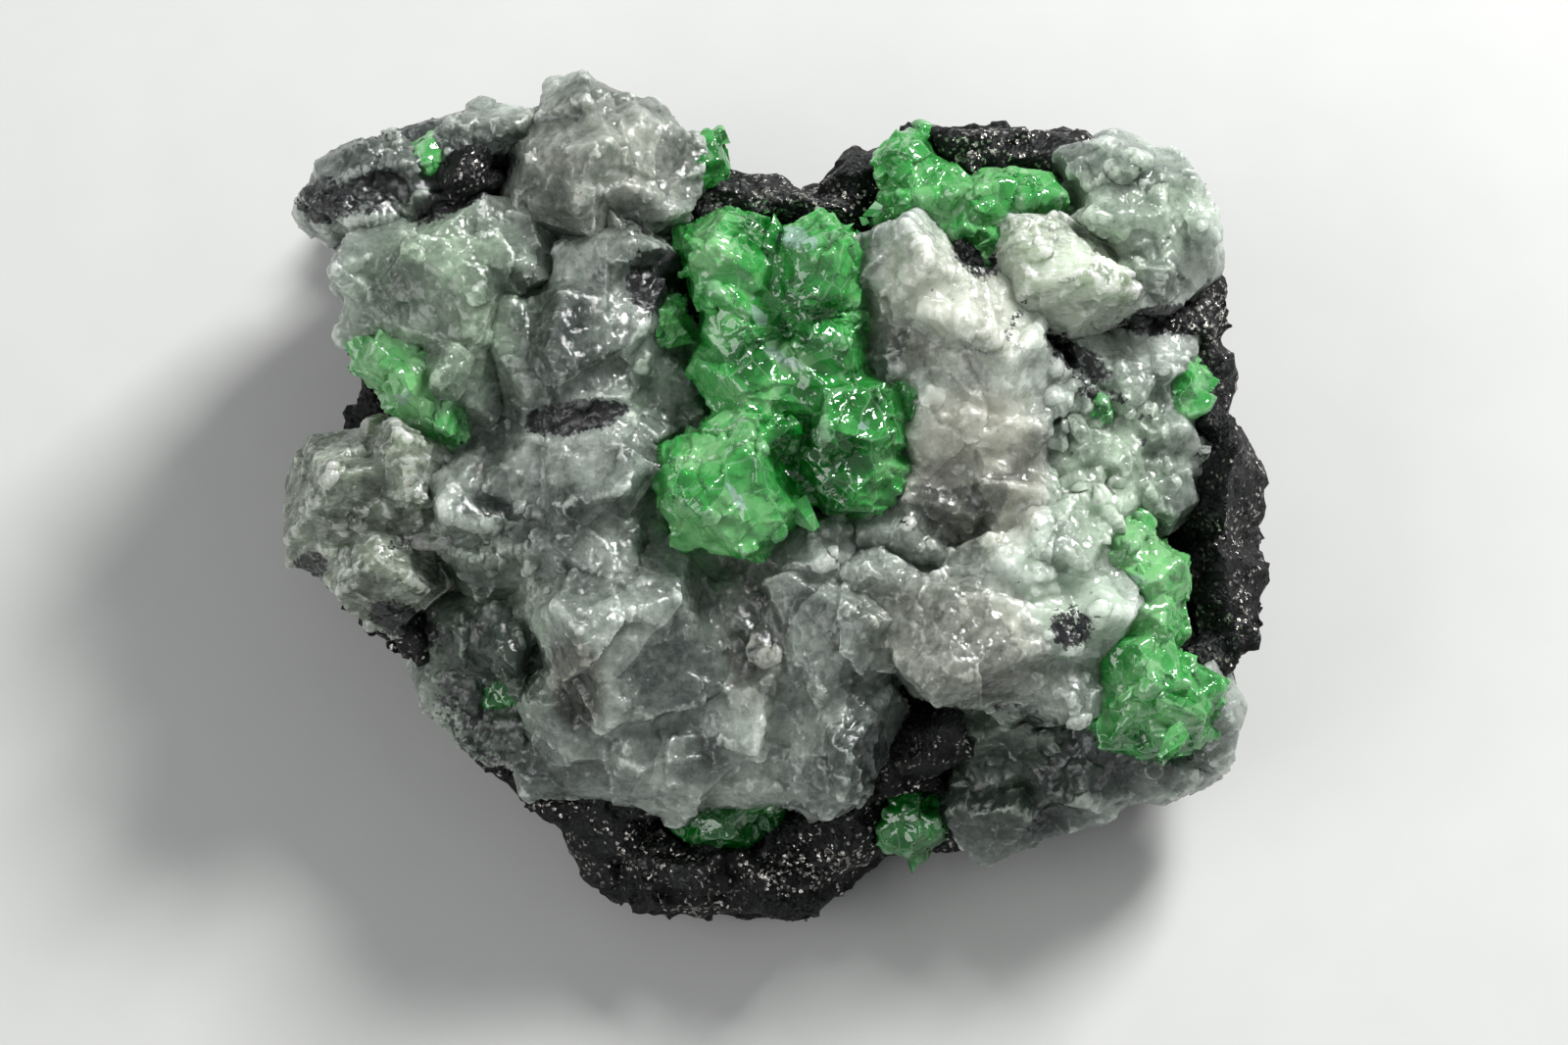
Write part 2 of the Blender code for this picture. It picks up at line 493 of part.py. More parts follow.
def cutting_block(spot, outward, collection):
    """A big cube that takes away everything past a plane."""
    bm = bmesh.new()
    bmesh.ops.create_cube(bm, size=FAR)
    facing = outward.to_track_quat("Z", "Y").to_matrix().to_4x4()
    place = Matrix.Translation(spot) @ facing @ Matrix.Translation((0, 0, FAR / 2))
    bmesh.ops.transform(bm, matrix=place, verts=bm.verts)
    return as_object(bm, "cutting_block", collection)


def rest_flat(rock, parts):
    """Cuts the back flat where it rests, and chips the edge round that face."""
    blocks = [cutting_block(Vector((0, 0, 0)), Vector((0, 0, -1)), parts)]
    low = [vert.co for vert in rock.data.vertices if vert.co.z < EDGE_ZONE]
    for k in range(EDGE_CHIPS):
        angle = math.tau * (k + rng.uniform(-0.25, 0.25)) / EDGE_CHIPS
        sideways = Vector((math.cos(angle), math.sin(angle), 0))
        if sideways.y > BACK_EDGE:
            continue
        reach = max(point.dot(sideways) for point in low)
        spot = sideways * (reach - CHIP_INSET * rng.uniform(*CHIP_SPREAD))
        blocks.append(cutting_block(spot, sideways + Vector((0, 0, -CHIP_SLOPE)), parts))
    combine(rock, blocks, "DIFFERENCE")
    keep_largest(rock)


def stand_up(parts):
    """Leans the face, cuts the back flat where it rests, and puts the origin under the middle."""
    lean = Matrix.Rotation(FACE_LEAN, 4, "X")
    place = Matrix.Translation((0, 0, FACE_CENTRE_HEIGHT)) @ lean
    for obj in parts.objects:
        obj.data.transform(place)
    for obj in parts.objects:
        close_slivers(obj)
    rest_flat(built["graphite_matrix"], parts)
    points = [vert.co for obj in parts.objects for vert in obj.data.vertices]
    low = Vector([min(point[k] for point in points) for k in range(3)])
    high = Vector([max(point[k] for point in points) for k in range(3)])
    shift = Vector((-(low.x + high.x) / 2, -(low.y + high.y) / 2, -low.z))
    print("size in mm:", [round(high[k] - low[k], 2) for k in range(3)])
    print("middle of the face in mm:", [round(x, 3) for x in place.translation + shift])
    for obj in parts.objects:
        obj.data.transform(Matrix.Scale(MM, 4) @ Matrix.Translation(shift))


def main():
    clear_scene()
    parts = new_collection("tsavorite_garnet")
    for name, places in GARNETS.items():
        build_grains(name, places, parts, garnet=True)
    for name, places in {**PALE_CRYSTALS, **QUARTZ_MASSES}.items():
        build_grains(name, places, parts)
    host_rock(parts)
    finishes = {name: finish_of(name) for name in FINISHES}
    for name, obj in built.items():
        obj.data.materials.clear()
        obj.data.materials.append(finishes[name.split("_")[0]])
    stand_up(parts)


main()
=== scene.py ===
# %% [markdown]
# # A hand specimen of tsavorite garnet
#
# This is a broken piece of rock, 24 mm wide. Green garnets grew in grey-white quartz,
# and black graphite rock holds it all. The measured solids give every grain its place
# and size, but a solid has flat faces and no skin. This lesson gives each grain the
# broken surface and the finish of the real mineral.

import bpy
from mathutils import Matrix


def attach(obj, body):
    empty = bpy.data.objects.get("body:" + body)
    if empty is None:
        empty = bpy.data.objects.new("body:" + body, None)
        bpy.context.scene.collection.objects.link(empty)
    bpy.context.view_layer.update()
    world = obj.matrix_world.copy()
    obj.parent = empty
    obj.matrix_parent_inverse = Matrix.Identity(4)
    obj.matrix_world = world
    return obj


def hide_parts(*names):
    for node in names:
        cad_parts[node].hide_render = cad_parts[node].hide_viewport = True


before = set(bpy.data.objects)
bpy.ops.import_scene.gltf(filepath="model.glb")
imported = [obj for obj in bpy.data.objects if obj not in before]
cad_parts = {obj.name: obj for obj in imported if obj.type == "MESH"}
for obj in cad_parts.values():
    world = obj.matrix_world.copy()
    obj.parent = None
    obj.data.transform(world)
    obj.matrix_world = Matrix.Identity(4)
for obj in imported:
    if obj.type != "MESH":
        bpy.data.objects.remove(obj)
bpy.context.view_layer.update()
print("solids:", len(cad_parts))

# %% [markdown]
# ## Work square to the crystal face
#
# The crystal face leans towards the front, so the world's axes are awkward for it. All
# shaping is done in the face's own millimetres instead: u to the right, v up the face
# and w out of it. One matrix takes a finished piece back to its place.

# %% The face frame
import math
import random
from itertools import product

import bmesh
import bpy
import numpy as np
from mathutils import Matrix, Vector
from mathutils.bvhtree import BVHTree

MM = 0.001
FACE_LEAN = math.radians(21)
FACE_MIDDLE = Vector((-0.109, -2.109, 8.15))  # mm above and beside the world's origin

face_to_world = (
    Matrix.Scale(MM, 4)
    @ Matrix.Translation(FACE_MIDDLE)
    @ Matrix.Rotation(FACE_LEAN, 4, "X")
)
world_to_face = face_to_world.inverted()
print("middle of the face in metres:", [round(x, 5) for x in face_to_world.translation])

# %% [markdown]
# ## Chance that comes out the same every time
#
# Broken stone needs many irregular numbers. They could come from a random generator,
# but then a point's number depends on the order in which points are asked for. Here a
# number is worked out from the place itself, by scrambling the bits of the cell that
# the point is in. Neighbouring pieces then share one pattern, and each run is alike.

# %% Numbers from places
SCRAMBLE = (0x8DA6B343, 0xD8163841, 0xCB1AB31F)


def cell_numbers(cells, salt):
    """A number from 0 to 1 for each whole-number cell."""
    bits = np.full(len(cells), salt * 0x9E3779B1 & 0xFFFFFFFF, np.uint32)
    for k in range(3):
        bits ^= cells[:, k].astype(np.uint32) * np.uint32(SCRAMBLE[k])
    for shift, factor in ((15, 0x2C1B3C6D), (12, 0x297A2D39)):
        bits = (bits ^ (bits >> np.uint32(shift))) * np.uint32(factor)
    return (bits ^ (bits >> np.uint32(15))) / 2.0**32


def clouds(points, size, salt, octaves=3):
    """Soft noise from -1 to 1, with blobs of this many millimetres and finer ones in them."""
    total, strength, most = 0.0, 1.0, 0.0
    for octave in range(octaves):
        scaled = points * 2**octave / size
        base = np.floor(scaled).astype(np.int64)
        part = scaled - base
        part = part * part * (3 - 2 * part)
        for corner in product((0, 1), repeat=3):
            weight = np.prod(np.where(corner, part, 1 - part), axis=1)
            total += strength * weight * (2 * cell_numbers(base + corner, salt + octave) - 1)
        most += strength
        strength /= 2
    return total / most


def shards(points, size, salt):
    """The shard that each point is in: how near its seed is, the way from it, and its tilt."""
    scaled = points / size
    base = np.floor(scaled).astype(np.int64)
    nearest = np.full(len(points), 9.0)
    away, cell = np.zeros_like(scaled), np.zeros_like(base)
    for step in product((-1, 0, 1), repeat=3):
        here = base + step
        seed = np.stack([cell_numbers(here, salt + k) for k in range(3)], axis=1)
        offset = scaled - here - seed
        distance = (offset**2).sum(axis=1)
        closer = distance < nearest
        nearest[closer], away[closer], cell[closer] = distance[closer], offset[closer], here[closer]
    tilt = np.stack([2 * cell_numbers(cell, salt + 7 + k) - 1 for k in range(3)], axis=1)
    return nearest, away, tilt


print("three numbers:", cell_numbers(np.array([[0, 0, 0], [1, 0, 0], [0, 1, 0]]), 1).round(3))

# %% [markdown]
# ## Start from a copy of the solid
#
# A solid arrives as loose triangles. A copy is welded first, because a modifier or a
# neighbour search needs corners that are shared. The solid itself is never touched.

# %% Copy a solid
WELD = 0.002  # mm


def copy_of(grain):
    """This grain's solid, welded, in the face's millimetres."""
    bm = bmesh.new()
    bm.from_mesh(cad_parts[grain].data)
    bmesh.ops.transform(bm, matrix=world_to_face, verts=bm.verts)
    bmesh.ops.remove_doubles(bm, verts=bm.verts, dist=WELD)
    return bm


sample = copy_of("quartz_tooth")
print("corners of the quartz tooth:", len(sample.verts))
sample.free()

# %% [markdown]
# ## Chips
#
# Where the hammer crushed the stone, its surface is a rubble of little splinters. They
# could be carved, but it is easier to add them. A chip is a cube cut down by a few
# planes, a dozen faces in all. Copies are sunk in the surface so that corners stand out.

# %% Hew the chips
CHIP_KINDS = 7
CHIP_PLANES = 8
CHIP_REACH = 1.5  # its farthest corner from its middle


def new_chip(picks):
    """A convex splinter about 2 across, hewn from a cube."""
    bm = bmesh.new()
    bmesh.ops.create_cube(bm, size=4)
    for _ in range(CHIP_PLANES):
        facing = Vector([picks.gauss(0, 1) for _ in range(3)]).normalized()
        cut = bmesh.ops.bisect_plane(
            bm,
            geom=bm.verts[:] + bm.edges[:] + bm.faces[:],
            plane_co=facing * picks.uniform(0.6, 1.0),
            plane_no=facing,
            clear_outer=True,
        )
        edges = [e for e in cut["geom_cut"] if isinstance(e, bmesh.types.BMEdge)]
        if edges:
            bmesh.ops.edgeloop_fill(bm, edges=edges)
    for vert in bm.verts:
        vert.co *= min(1.0, CHIP_REACH / vert.co.length)
    bmesh.ops.recalc_face_normals(bm, faces=bm.faces)
    mesh = bpy.data.meshes.new("chip")
    bm.to_mesh(mesh)
    bm.free()
    return mesh


chip_picks = random.Random(3)
chips = [new_chip(chip_picks) for _ in range(CHIP_KINDS)]
print("faces of each chip:", [len(chip.polygons) for chip in chips])

# %% [markdown]
# ## Scatter the chips
#
# A chip is placed by picking a triangle, a bigger one more often, and a point in it.
# Chips that face down into the stone would never show, so those places are passed over.
# Where only part of a grain is crushed, a share from 0 to 1 says how likely a chip is.

# %% Scatter the chips
DEEPEST_CHIP_FACING = -0.35


def sink_chip(bm, chip, spot, facing, half_sizes):
    """Puts a copy of the chip at the spot, its own z turned to the facing."""
    turn = facing.to_track_quat("Z", "Y").to_matrix().to_4x4()
    stretch = Matrix.Diagonal((*half_sizes, 1))
    copy = chip.copy()
    copy.transform(Matrix.Translation(spot) @ turn @ stretch)
    bm.from_mesh(copy)
    bpy.data.meshes.remove(copy)


def scatter_chips(bm, picks, per_mm2, sizes, sunk, flat, where=None):
    """Sinks chips of these half-widths in the surface. A flat below 1 makes them flakes."""
    bmesh.ops.triangulate(bm, faces=bm.faces)
    faces = [f for f in bm.faces if f.normal.z > DEEPEST_CHIP_FACING]
    weights = [f.calc_area() for f in faces]
    spots, facings = [], []
    for face in picks.choices(faces, weights, k=int(sum(weights) * per_mm2)):
        a, b = sorted((picks.random(), picks.random()))
        one, two, three = (v.co for v in face.verts)
        spots.append(a * one + (b - a) * two + (1 - b) * three)
        facings.append(face.normal.copy())
    wanted = where(np.array(spots)) if where and spots else np.ones(len(spots))
    rubble = bmesh.new()
    for spot, facing, share in zip(spots, facings, wanted):
        size = picks.uniform(*sizes) * picks.uniform(0.6, 1.0)
        lean = Vector([picks.gauss(0, 0.5 * flat) for _ in range(3)])
        thick = flat * picks.uniform(0.6, 1.4)
        stretch = (picks.uniform(0.7, 1.5), picks.uniform(0.6, 1.1), thick)
        if picks.random() < share:
            chip = picks.choice(chips)
            spot = spot - facing * size * sunk
            sink_chip(rubble, chip, spot, (facing + lean).normalized(), [size * k for k in stretch])
    join(bm, rubble)


def join(bm, other):
    """Adds the other bmesh to this one, and frees it."""
    mesh = bpy.data.meshes.new("other")
    other.to_mesh(mesh)
    other.free()
    bm.from_mesh(mesh)
    bpy.data.meshes.remove(mesh)


sample = copy_of("garnet_chip")
before = len(sample.faces)
scatter_chips(sample, random.Random(1), 1.0, (0.2, 0.4), 0.7, 0.8)
print("faces of the small garnet chip without and with rubble:", before, len(sample.faces))
sample.free()

# %% [markdown]
# ## One skin over everything
#
# The solid and its chips now pass through each other. A voxel remesh lays a single
# even skin over them, like wet cloth, with a corner every few hundredths of a
# millimetre. That skin is fine enough to be pushed in and out corner by corner.

# %% Remesh
def with_modifier(mesh, kind, **settings):
    """The mesh as this modifier leaves it. The mesh that went in is used up."""
    draft = bpy.data.objects.new("draft", mesh)
    bpy.context.scene.collection.objects.link(draft)
    modifier = draft.modifiers.new("finish", kind)
    for name, value in settings.items():
        setattr(modifier, name, value)
    graph = bpy.context.evaluated_depsgraph_get()
    finished = bpy.data.meshes.new_from_object(draft.evaluated_get(graph))
    bpy.data.objects.remove(draft)
    bpy.data.meshes.remove(mesh)
    return finished


def remeshed(bm, voxel):
    """One closed skin over all of the bmesh, with a corner every voxel millimetres."""
    mesh = bpy.data.meshes.new("draft")
    bm.to_mesh(mesh)
    bm.free()
    return with_modifier(mesh, "REMESH", mode="VOXEL", voxel_size=voxel)


def corners(mesh):
    """The corners' places and normals, as two arrays."""
    places = np.empty(len(mesh.vertices) * 3, np.float32)
    normals = np.empty_like(places)
    mesh.vertices.foreach_get("co", places)
    mesh.vertex_normals.foreach_get("vector", normals)
    return places.reshape(-1, 3).astype(float), normals.reshape(-1, 3).astype(float)


def move_corners(mesh, places):
    mesh.vertices.foreach_set("co", places.astype(np.float32).ravel())
    mesh.update()


trial = remeshed(copy_of("garnet_chip"), 0.1)
print("corners of a coarse skin over the small garnet chip:", len(trial.vertices))
bpy.data.meshes.remove(trial)

# %% [markdown]
# ## Fill the creases
#
# The solids are separate blocks with deep creases between them, and real crystals that
# grew together have none. Growing a coarse skin and shrinking it again closes every
# crease narrower than twice that distance, as a plasterer's float does. The filling
# stays just inside the sharp original, so that the edges keep their shape.

# %% Crease filling
FILL_GRAIN = 0.4  # spacing of the coarse skin's corners, as a share of the distance
UNDER_SKIN = 0.04  # mm that the filling stays below the original


def shifted(mesh, by):
    """The mesh as a bmesh, with its skin moved out by this many mm."""
    places, normals = corners(mesh)
    move_corners(mesh, places + normals * by)
    bm = bmesh.new()
    bm.from_mesh(mesh)
    return bm


def fill_creases(bm, distance):
    coarse = distance * FILL_GRAIN
    grown = shifted(remeshed(bm.copy(), coarse), distance)
    join(bm, shifted(remeshed(grown, coarse), -distance - UNDER_SKIN))


# %% [markdown]
# ## A bed of quartz
#
# The blocks of one quartz mass stand on more quartz, and without it the gaps between
# them would show black rock. The hull of the mass, cut off below the tops of its blocks
# and drawn in a little at its sides, makes a low mound that fills them from below.

# %% Quartz bed
BED_TOP = 0.85  # measured down from the corner that this share of the corners is below
BED_DROP = 1.0  # mm
BED_WIDTH = 0.9  # as a share of the mass


def bed_under(bm):
    mound = bm.copy()
    heights = sorted(v.co.z for v in mound.verts)
    cap = heights[int(len(heights) * BED_TOP)] - BED_DROP
    middle = sum((v.co for v in mound.verts), Vector()) / len(mound.verts)
    for vert in mound.verts:
        vert.co.z = min(vert.co.z, cap)
        vert.co.x = middle.x + (vert.co.x - middle.x) * BED_WIDTH
        vert.co.y = middle.y + (vert.co.y - middle.y) * BED_WIDTH
    hull = bmesh.ops.convex_hull(mound, input=mound.verts)
    kept = {g for g in hull["geom"] if isinstance(g, bmesh.types.BMFace)}
    bmesh.ops.delete(mound, geom=[f for f in mound.faces if f not in kept], context="FACES")
    join(bm, mound)


sample = copy_of("quartz_lower")
before = len(sample.faces)
bed_under(sample)
print("faces of the lower quartz without and with its bed:", before, len(sample.faces))
sample.free()

# %% [markdown]
# ## Fracture relief
#
# Quartz and garnet break like glass, in shallow scoops that meet in sharp ridges. The
# distance to the nearest of many scattered seeds, squared, is just that: a bowl round
# each seed, and a ridge where two bowls meet. Tilting each bowl its own way adds the
# little steps of a rough break, and soft noise adds the rest.

# %% Push the skin in and out
def fracture(mesh, layers, grow):
    """Moves each corner along its normal. A layer is (size, scoop, tilt, noise), in mm."""
    places, normals = corners(mesh)
    height = np.full(len(places), grow)
    for salt, (size, scoop, tilt, noise) in enumerate(layers):
        nearest, away, lean = shards(places, size, 11 * salt)
        height += scoop * (nearest - 0.35)
        height += tilt * (away * lean).sum(axis=1)
        height += noise * clouds(places, size, 5 + 11 * salt)
    move_corners(mesh, places + normals * height[:, None])


bowl, _, _ = shards(np.array([[0.2, 0.1, 0.4], [0.7, 0.3, 0.9]]), 1.0, 0)
print("how deep two points lie in their bowls:", bowl.round(2))

# %% [markdown]
# ## Where the ridges are
#
# Every thin edge of broken quartz looks white, because tiny cracks crowd it. To find
# the edges, the skin is smoothed by averaging each corner with its neighbours, and a
# corner that stood above the smooth skin is on a ridge. The result is kept on the mesh
# as an attribute, which the material reads.

# %% Find ridges and hollows
RIDGE_REACH = 7  # rounds of smoothing


def keep_attribute(mesh, name, values):
    layer = mesh.attributes.new(name, "FLOAT", "POINT")
    layer.data.foreach_set("value", np.asarray(values, np.float32))


def mark_ridges(mesh, full):
    """Keeps how far each corner stands above the smoothed skin, as 1 at full millimetres."""
    places, normals = corners(mesh)
    ends = np.empty(len(mesh.edges) * 2, np.int32)
    mesh.edges.foreach_get("vertices", ends)
    one, two = ends.reshape(-1, 2).T
    count = len(places)
    neighbours = np.bincount(one, minlength=count) + np.bincount(two, minlength=count)
    smooth = places.copy()
    for _ in range(RIDGE_REACH):
        for k in range(3):
            total = np.bincount(one, smooth[two, k], count)
            total += np.bincount(two, smooth[one, k], count)
            smooth[:, k] = (smooth[:, k] + total / neighbours) / 2
    above = ((places - smooth) * normals).sum(axis=1)
    keep_attribute(mesh, "ridge", np.clip(above / full, -1, 1))


trial = remeshed(copy_of("garnet_chip"), 0.1)
mark_ridges(trial, 0.05)
marks = [value.value for value in trial.attributes["ridge"].data]
print("corners on a ridge of the small garnet chip:", sum(mark > 0.5 for mark in marks))
bpy.data.meshes.remove(trial)

# %% [markdown]
# ## Patches placed by eye
#
# Some things on the face have their own place: a film of graphite, a clear window, a
# deeper green. Others are painted light: shade painted on the lower part and the left,
# light painted at the upper right, and glints and bluish sheens painted on the garnets.
# Each is one soft oval, given by its middle, its two half-widths, its turn and its
# strength. The material breaks up its edge with noise.

# %% Patches
SOOT = [  # graphite films and smears on the crystals
    (-7.4, 7.6, 1.7, 0.5, 32, 1.0), (-10.9, 7.3, 0.8, 0.7, 0, 0.9), (-9.6, 7.5, 1.2, 0.6, 20, 0.8),
    (-9.5, 9.0, 2.0, 0.5, 12, 0.6),
    (-4.8, 2.05, 1.4, 0.45, 8, 1.1), (-2.7, 5.3, 0.9, 0.9, 0, 1.3), (-11.2, -1.5, 0.5, 0.4, 0, 0.9),
    (-8.9, -2.9, 1.1, 0.5, -25, 1.0),
    (-7.3, -5.4, 0.8, 1.8, 32, 0.7), (9.6, 4.4, 1.4, 0.45, 5, 1.0),
    (7.3, 3.5, 1.1, 0.4, -35, 0.9), (4.8, 6.0, 0.5, 0.9, 35, 0.9), (7.8, 2.6, 0.8, 0.3, -10, 0.7),
    (-3.0, 6.6, 1.2, 0.25, 0, 0.6), (10.9, 1.2, 0.8, 3.5, 0, 0.6), (-9.0, -0.9, 0.5, 0.2, 30, 0.6),
    (5.8, 4.4, 0.15, 0.9, -25, 0.6),
    (3.3, -0.6, 0.5, 0.15, -40, 0.5), (7.1, -3.0, 0.6, 0.6, 0, 0.9),
    (8.2, -6.2, 3.0, 0.8, 10, 0.5), (5.6, -7.2, 1.8, 1.4, 0, 0.4),
    (-4.6, -0.2, 0.8, 0.25, 60, 0.45), (0.5, -2.4, 0.2, 0.5, 0, 0.4),
    (-5.9, 5.0, 0.9, 0.3, 60, 0.5), (8.9, 2.0, 0.3, 0.9, 0, 0.5), (6.2, -5.2, 1.2, 0.4, -20, 0.6),
]
WINDOWS_AND_PAINTED_SHADE = [  # above zero clear and dark, below zero milky; the wide ovals on the lower part and the left are painted shade, the milky ones at the upper right painted light
    (-4.7, -4.3, 0.7, 1.2, 8, 0.9), (-2.5, 2.9, 1.1, 1.2, 0, 0.6), (-0.5, -3.0, 0.55, 1.4, 5, 0.8),
    (4.4, 0.2, 1.4, 1.1, -20, 0.45), (3.0, 3.6, 0.8, 0.8, 0, 0.5), (-4.9, 3.6, 1.5, 1.4, 0, 0.35),
    (1.3, -3.4, 1.6, 1.8, 0, 0.55), (-6.9, 0.2, 0.9, 1.2, 0, 0.5), (-2.2, -5.9, 1.2, 0.9, 0, 0.5),
    (-6.4, 2.6, 0.5, 1.2, 10, 0.45), (-7.0, -3.4, 1.2, 3.0, 20, 0.8), (2.4, -5.4, 1.4, 1.8, 0, 0.6),
    (5.3, -6.9, 2.4, 1.8, 0, 1.0), (-8.9, 8.2, 2.6, 1.3, 10, 0.5), (8.0, -6.3, 2.6, 1.0, 10, 0.8),
    (-5.6, -0.4, 1.2, 1.6, 0, 0.4), (7.3, -1.4, 2.2, 2.6, 0, -0.7), (4.9, 3.2, 2.0, 3.2, -25, -0.9),
    (4.0, 5.4, 1.6, 1.8, 0, -0.8), (8.4, 6.6, 2.6, 2.0, 0, -0.2), (7.2, 5.2, 1.6, 1.3, 0, -0.7),
    (4.4, -3.3, 2.0, 1.4, -18, 0.3), (-4.3, 8.0, 2.4, 2.0, 0, 0.25),
    (9.0, 2.4, 1.6, 1.6, 0, -0.2), (-2.7, -3.6, 2.4, 2.8, 0, 0.25),
]
WARMTH = [  # above zero pinkish brown, below zero greenish
    (-4.2, 8.2, 2.4, 1.9, 0, 0.5), (4.2, 4.6, 2.3, 2.0, -30, 0.5), (4.8, 0.9, 2.0, 2.2, 0, 0.75),
    (4.4, -3.2, 2.4, 1.6, -18, 0.6), (-0.5, -3.2, 0.8, 1.9, 0, 0.5), (-7.9, 4.6, 2.4, 2.8, 0, -0.9),
    (8.2, 0.8, 1.8, 2.6, 0, -0.7), (8.4, 6.8, 2.4, 1.8, 0, -0.6), (7.2, -2.0, 1.4, 2.0, 0, -0.4),
    (-2.5, 2.9, 1.2, 1.3, 0, -0.6), (-7.0, -3.6, 1.6, 3.0, 0, -0.6), (-4.7, -4.3, 0.7, 1.1, 8, 0.8),
    (5.5, -6.6, 2.0, 1.6, 0, -0.6),
]
GREENS_AND_PAINTED_GLINTS = [  # above zero pale and cloudy garnet, a few of them painted glints; below zero deep and clear
    (1.1, 1.1, 1.2, 1.3, 0, -1.0), (2.0, 2.0, 0.8, 1.0, 0, -0.9), (0.85, 4.5, 0.9, 0.9, 0, -0.9),
    (-0.6, 3.5, 0.6, 0.7, 0, -0.7), (-0.35, 6.4, 0.7, 0.5, 0, -0.9), (0.6, 2.5, 0.5, 0.4, 0, -0.8),
    (-1.7, 1.1, 0.7, 0.5, 0, 0.9), (-1.5, 6.2, 0.5, 0.9, 0, 0.5), (0.3, 3.5, 0.7, 0.35, -30, 0.8),
    (-0.1, 2.6, 0.3, 0.5, 0, 0.8), (-1.4, -0.4, 1.3, 0.9, 0, 0.5), (-0.8, 1.7, 0.6, 0.5, 0, 0.5),
    (-8.8, 3.1, 1.4, 1.8, 0, 0.9), (4.6, 7.4, 2.4, 1.0, 0, 0.3), (8.7, -1.6, 1.3, 1.6, 0, 1.0),
    (9.4, -4.4, 1.4, 1.2, 0, 0.25), (8.5, -6.0, 1.8, 0.6, 0, -0.7), (-1.5, -7.8, 2.4, 1.2, 0, -1.0),
    (3.3, -7.7, 1.4, 1.0, 0, -1.0), (-1.7, 8.3, 1.0, 1.0, 0, -0.4), (-8.4, 8.3, 0.8, 0.8, 0, 0.5),
    (-6.6, -4.8, 1.2, 1.2, 0, -0.7),
]
PAINTED_SHEENS = [  # painted sheen: bluish white painted into the colour where flat inner cracks would mirror the sky
    (0.6, 6.25, 0.6, 0.35, -15, 1.0), (-0.35, 4.6, 0.2, 0.5, 10, 0.8),
    (0.25, 3.45, 0.6, 0.15, -25, 0.9),
    (-1.0, 0.3, 0.15, 0.8, 30, 0.8), (2.2, 1.9, 0.25, 0.15, 30, 0.8), (-9.0, 2.6, 0.3, 0.4, 0, 0.7),
    (8.7, -2.0, 0.3, 0.4, 20, 0.6), (9.6, -4.6, 0.3, 0.3, 0, 0.5), (2.3, 0.7, 0.15, 0.4, 0, 0.7),
]
GLITTER = [  # graphite with coarse silvery flakes
    (11.2, 0.6, 1.2, 5.0, 0, 0.2), (0.6, 7.3, 3.2, 0.7, -3, 0.9), (6.4, 8.6, 2.6, 0.9, -5, 0.7),
    (9.8, 4.6, 1.6, 0.8, 0, 0.8), (11.0, -4.0, 1.2, 2.0, 0, 0.3), (7.4, 3.2, 1.2, 0.6, -30, 0.7),
    (0.3, -8.9, 1.6, 0.7, 10, 1.0), (-2.7, -8.2, 1.0, 1.0, 0, 0.9), (4.2, -8.6, 1.0, 0.5, 0, 0.5),
]


def patched(places, patches):
    """The strongest patch at each corner, fading to nothing at its rim."""
    total = np.zeros(len(places))
    for u, v, half_u, half_v, turn, strength in patches:
        angle = math.radians(turn)
        across, along = places[:, 0] - u, places[:, 1] - v
        x = (across * math.cos(angle) + along * math.sin(angle)) / half_u
        y = (along * math.cos(angle) - across * math.sin(angle)) / half_v
        shape = strength * np.clip(1.4 - x * x - y * y, 0, 1)
        total = np.where(np.abs(shape) > np.abs(total), shape, total)
    return total


print("patches:", len(SOOT), "films,", len(WINDOWS_AND_PAINTED_SHADE), "windows,", len(GREENS_AND_PAINTED_GLINTS), "greens")

# %% [markdown]
# ## Colours and nodes
#
# Colours are picked as the eye sees them, in hex, and the shader wants them linear. One
# small function adds a node, sets it, links it up and hands on its output. Every
# pattern is measured on the piece itself, in millimetres.
#
# Inputs go by number where a node has several of one name. A Map Range takes its value
# at 0, the range that it comes from at 1 and 2, and the range that it goes to at 3 and
# 4. A colour Mix takes its share at 0 and its colours at 6 and 7, and gives output 2.

# %% Colour and node helpers
from functools import partial

SMOOTH = {"interpolation_type": "SMOOTHSTEP"}
TIMES_PLUS = {"operation": "MULTIPLY_ADD"}
COLOUR = {"data_type": "RGBA", "out": 2}
TINT = {"blend_type": "MULTIPLY", **COLOUR}


def hex_colour(code):
    """A linear colour from an sRGB hex code."""
    shown = [int(code[k : k + 2], 16) / 255 for k in (1, 3, 5)]
    return [c / 12.92 if c <= 0.04045 else ((c + 0.055) / 1.055) ** 2.4 for c in shown] + [1.0]


def add(material, kind, inputs, out=0, **settings):
    """Adds a node and hands on its output. An input is a value, or an output to link."""
    tree = material.node_tree
    node = tree.nodes.new("ShaderNode" + kind)
    for name, value in settings.items():
        setattr(node, name, value)
    for name, value in inputs.items():
        if isinstance(value, bpy.types.NodeSocket):
            tree.links.new(value, node.inputs[name])
        else:
            node.inputs[name].default_value = value
    return node.outputs[out] if node.outputs else node


def new_finish(name):
    """An empty material, its own node adder, and the place on the piece in millimetres."""
    material = bpy.data.materials.new(name)
    material.use_nodes = True
    material.node_tree.nodes.clear()
    node = partial(add, material)
    place = node("TexCoord", {}, out="Object")
    return material, node, node("Mapping", {"Vector": place, "Scale": (1 / MM,) * 3})


print("garnet green in linear light:", [round(c, 3) for c in hex_colour("#2f9a48")])

# %% [markdown]
# ## Three patterns that the minerals share
#
# Broken crystal is made of little flat facets, each tilted its own way: the cells of a
# Voronoi pattern, with a random slope in each. A film of graphite is a patch whose edge
# noise has eaten. Healed cracks part a crystal into blocks, some clearer and some
# milkier. Cells of the same kind stand for them, swayed by noise so that no crack is
# straight.

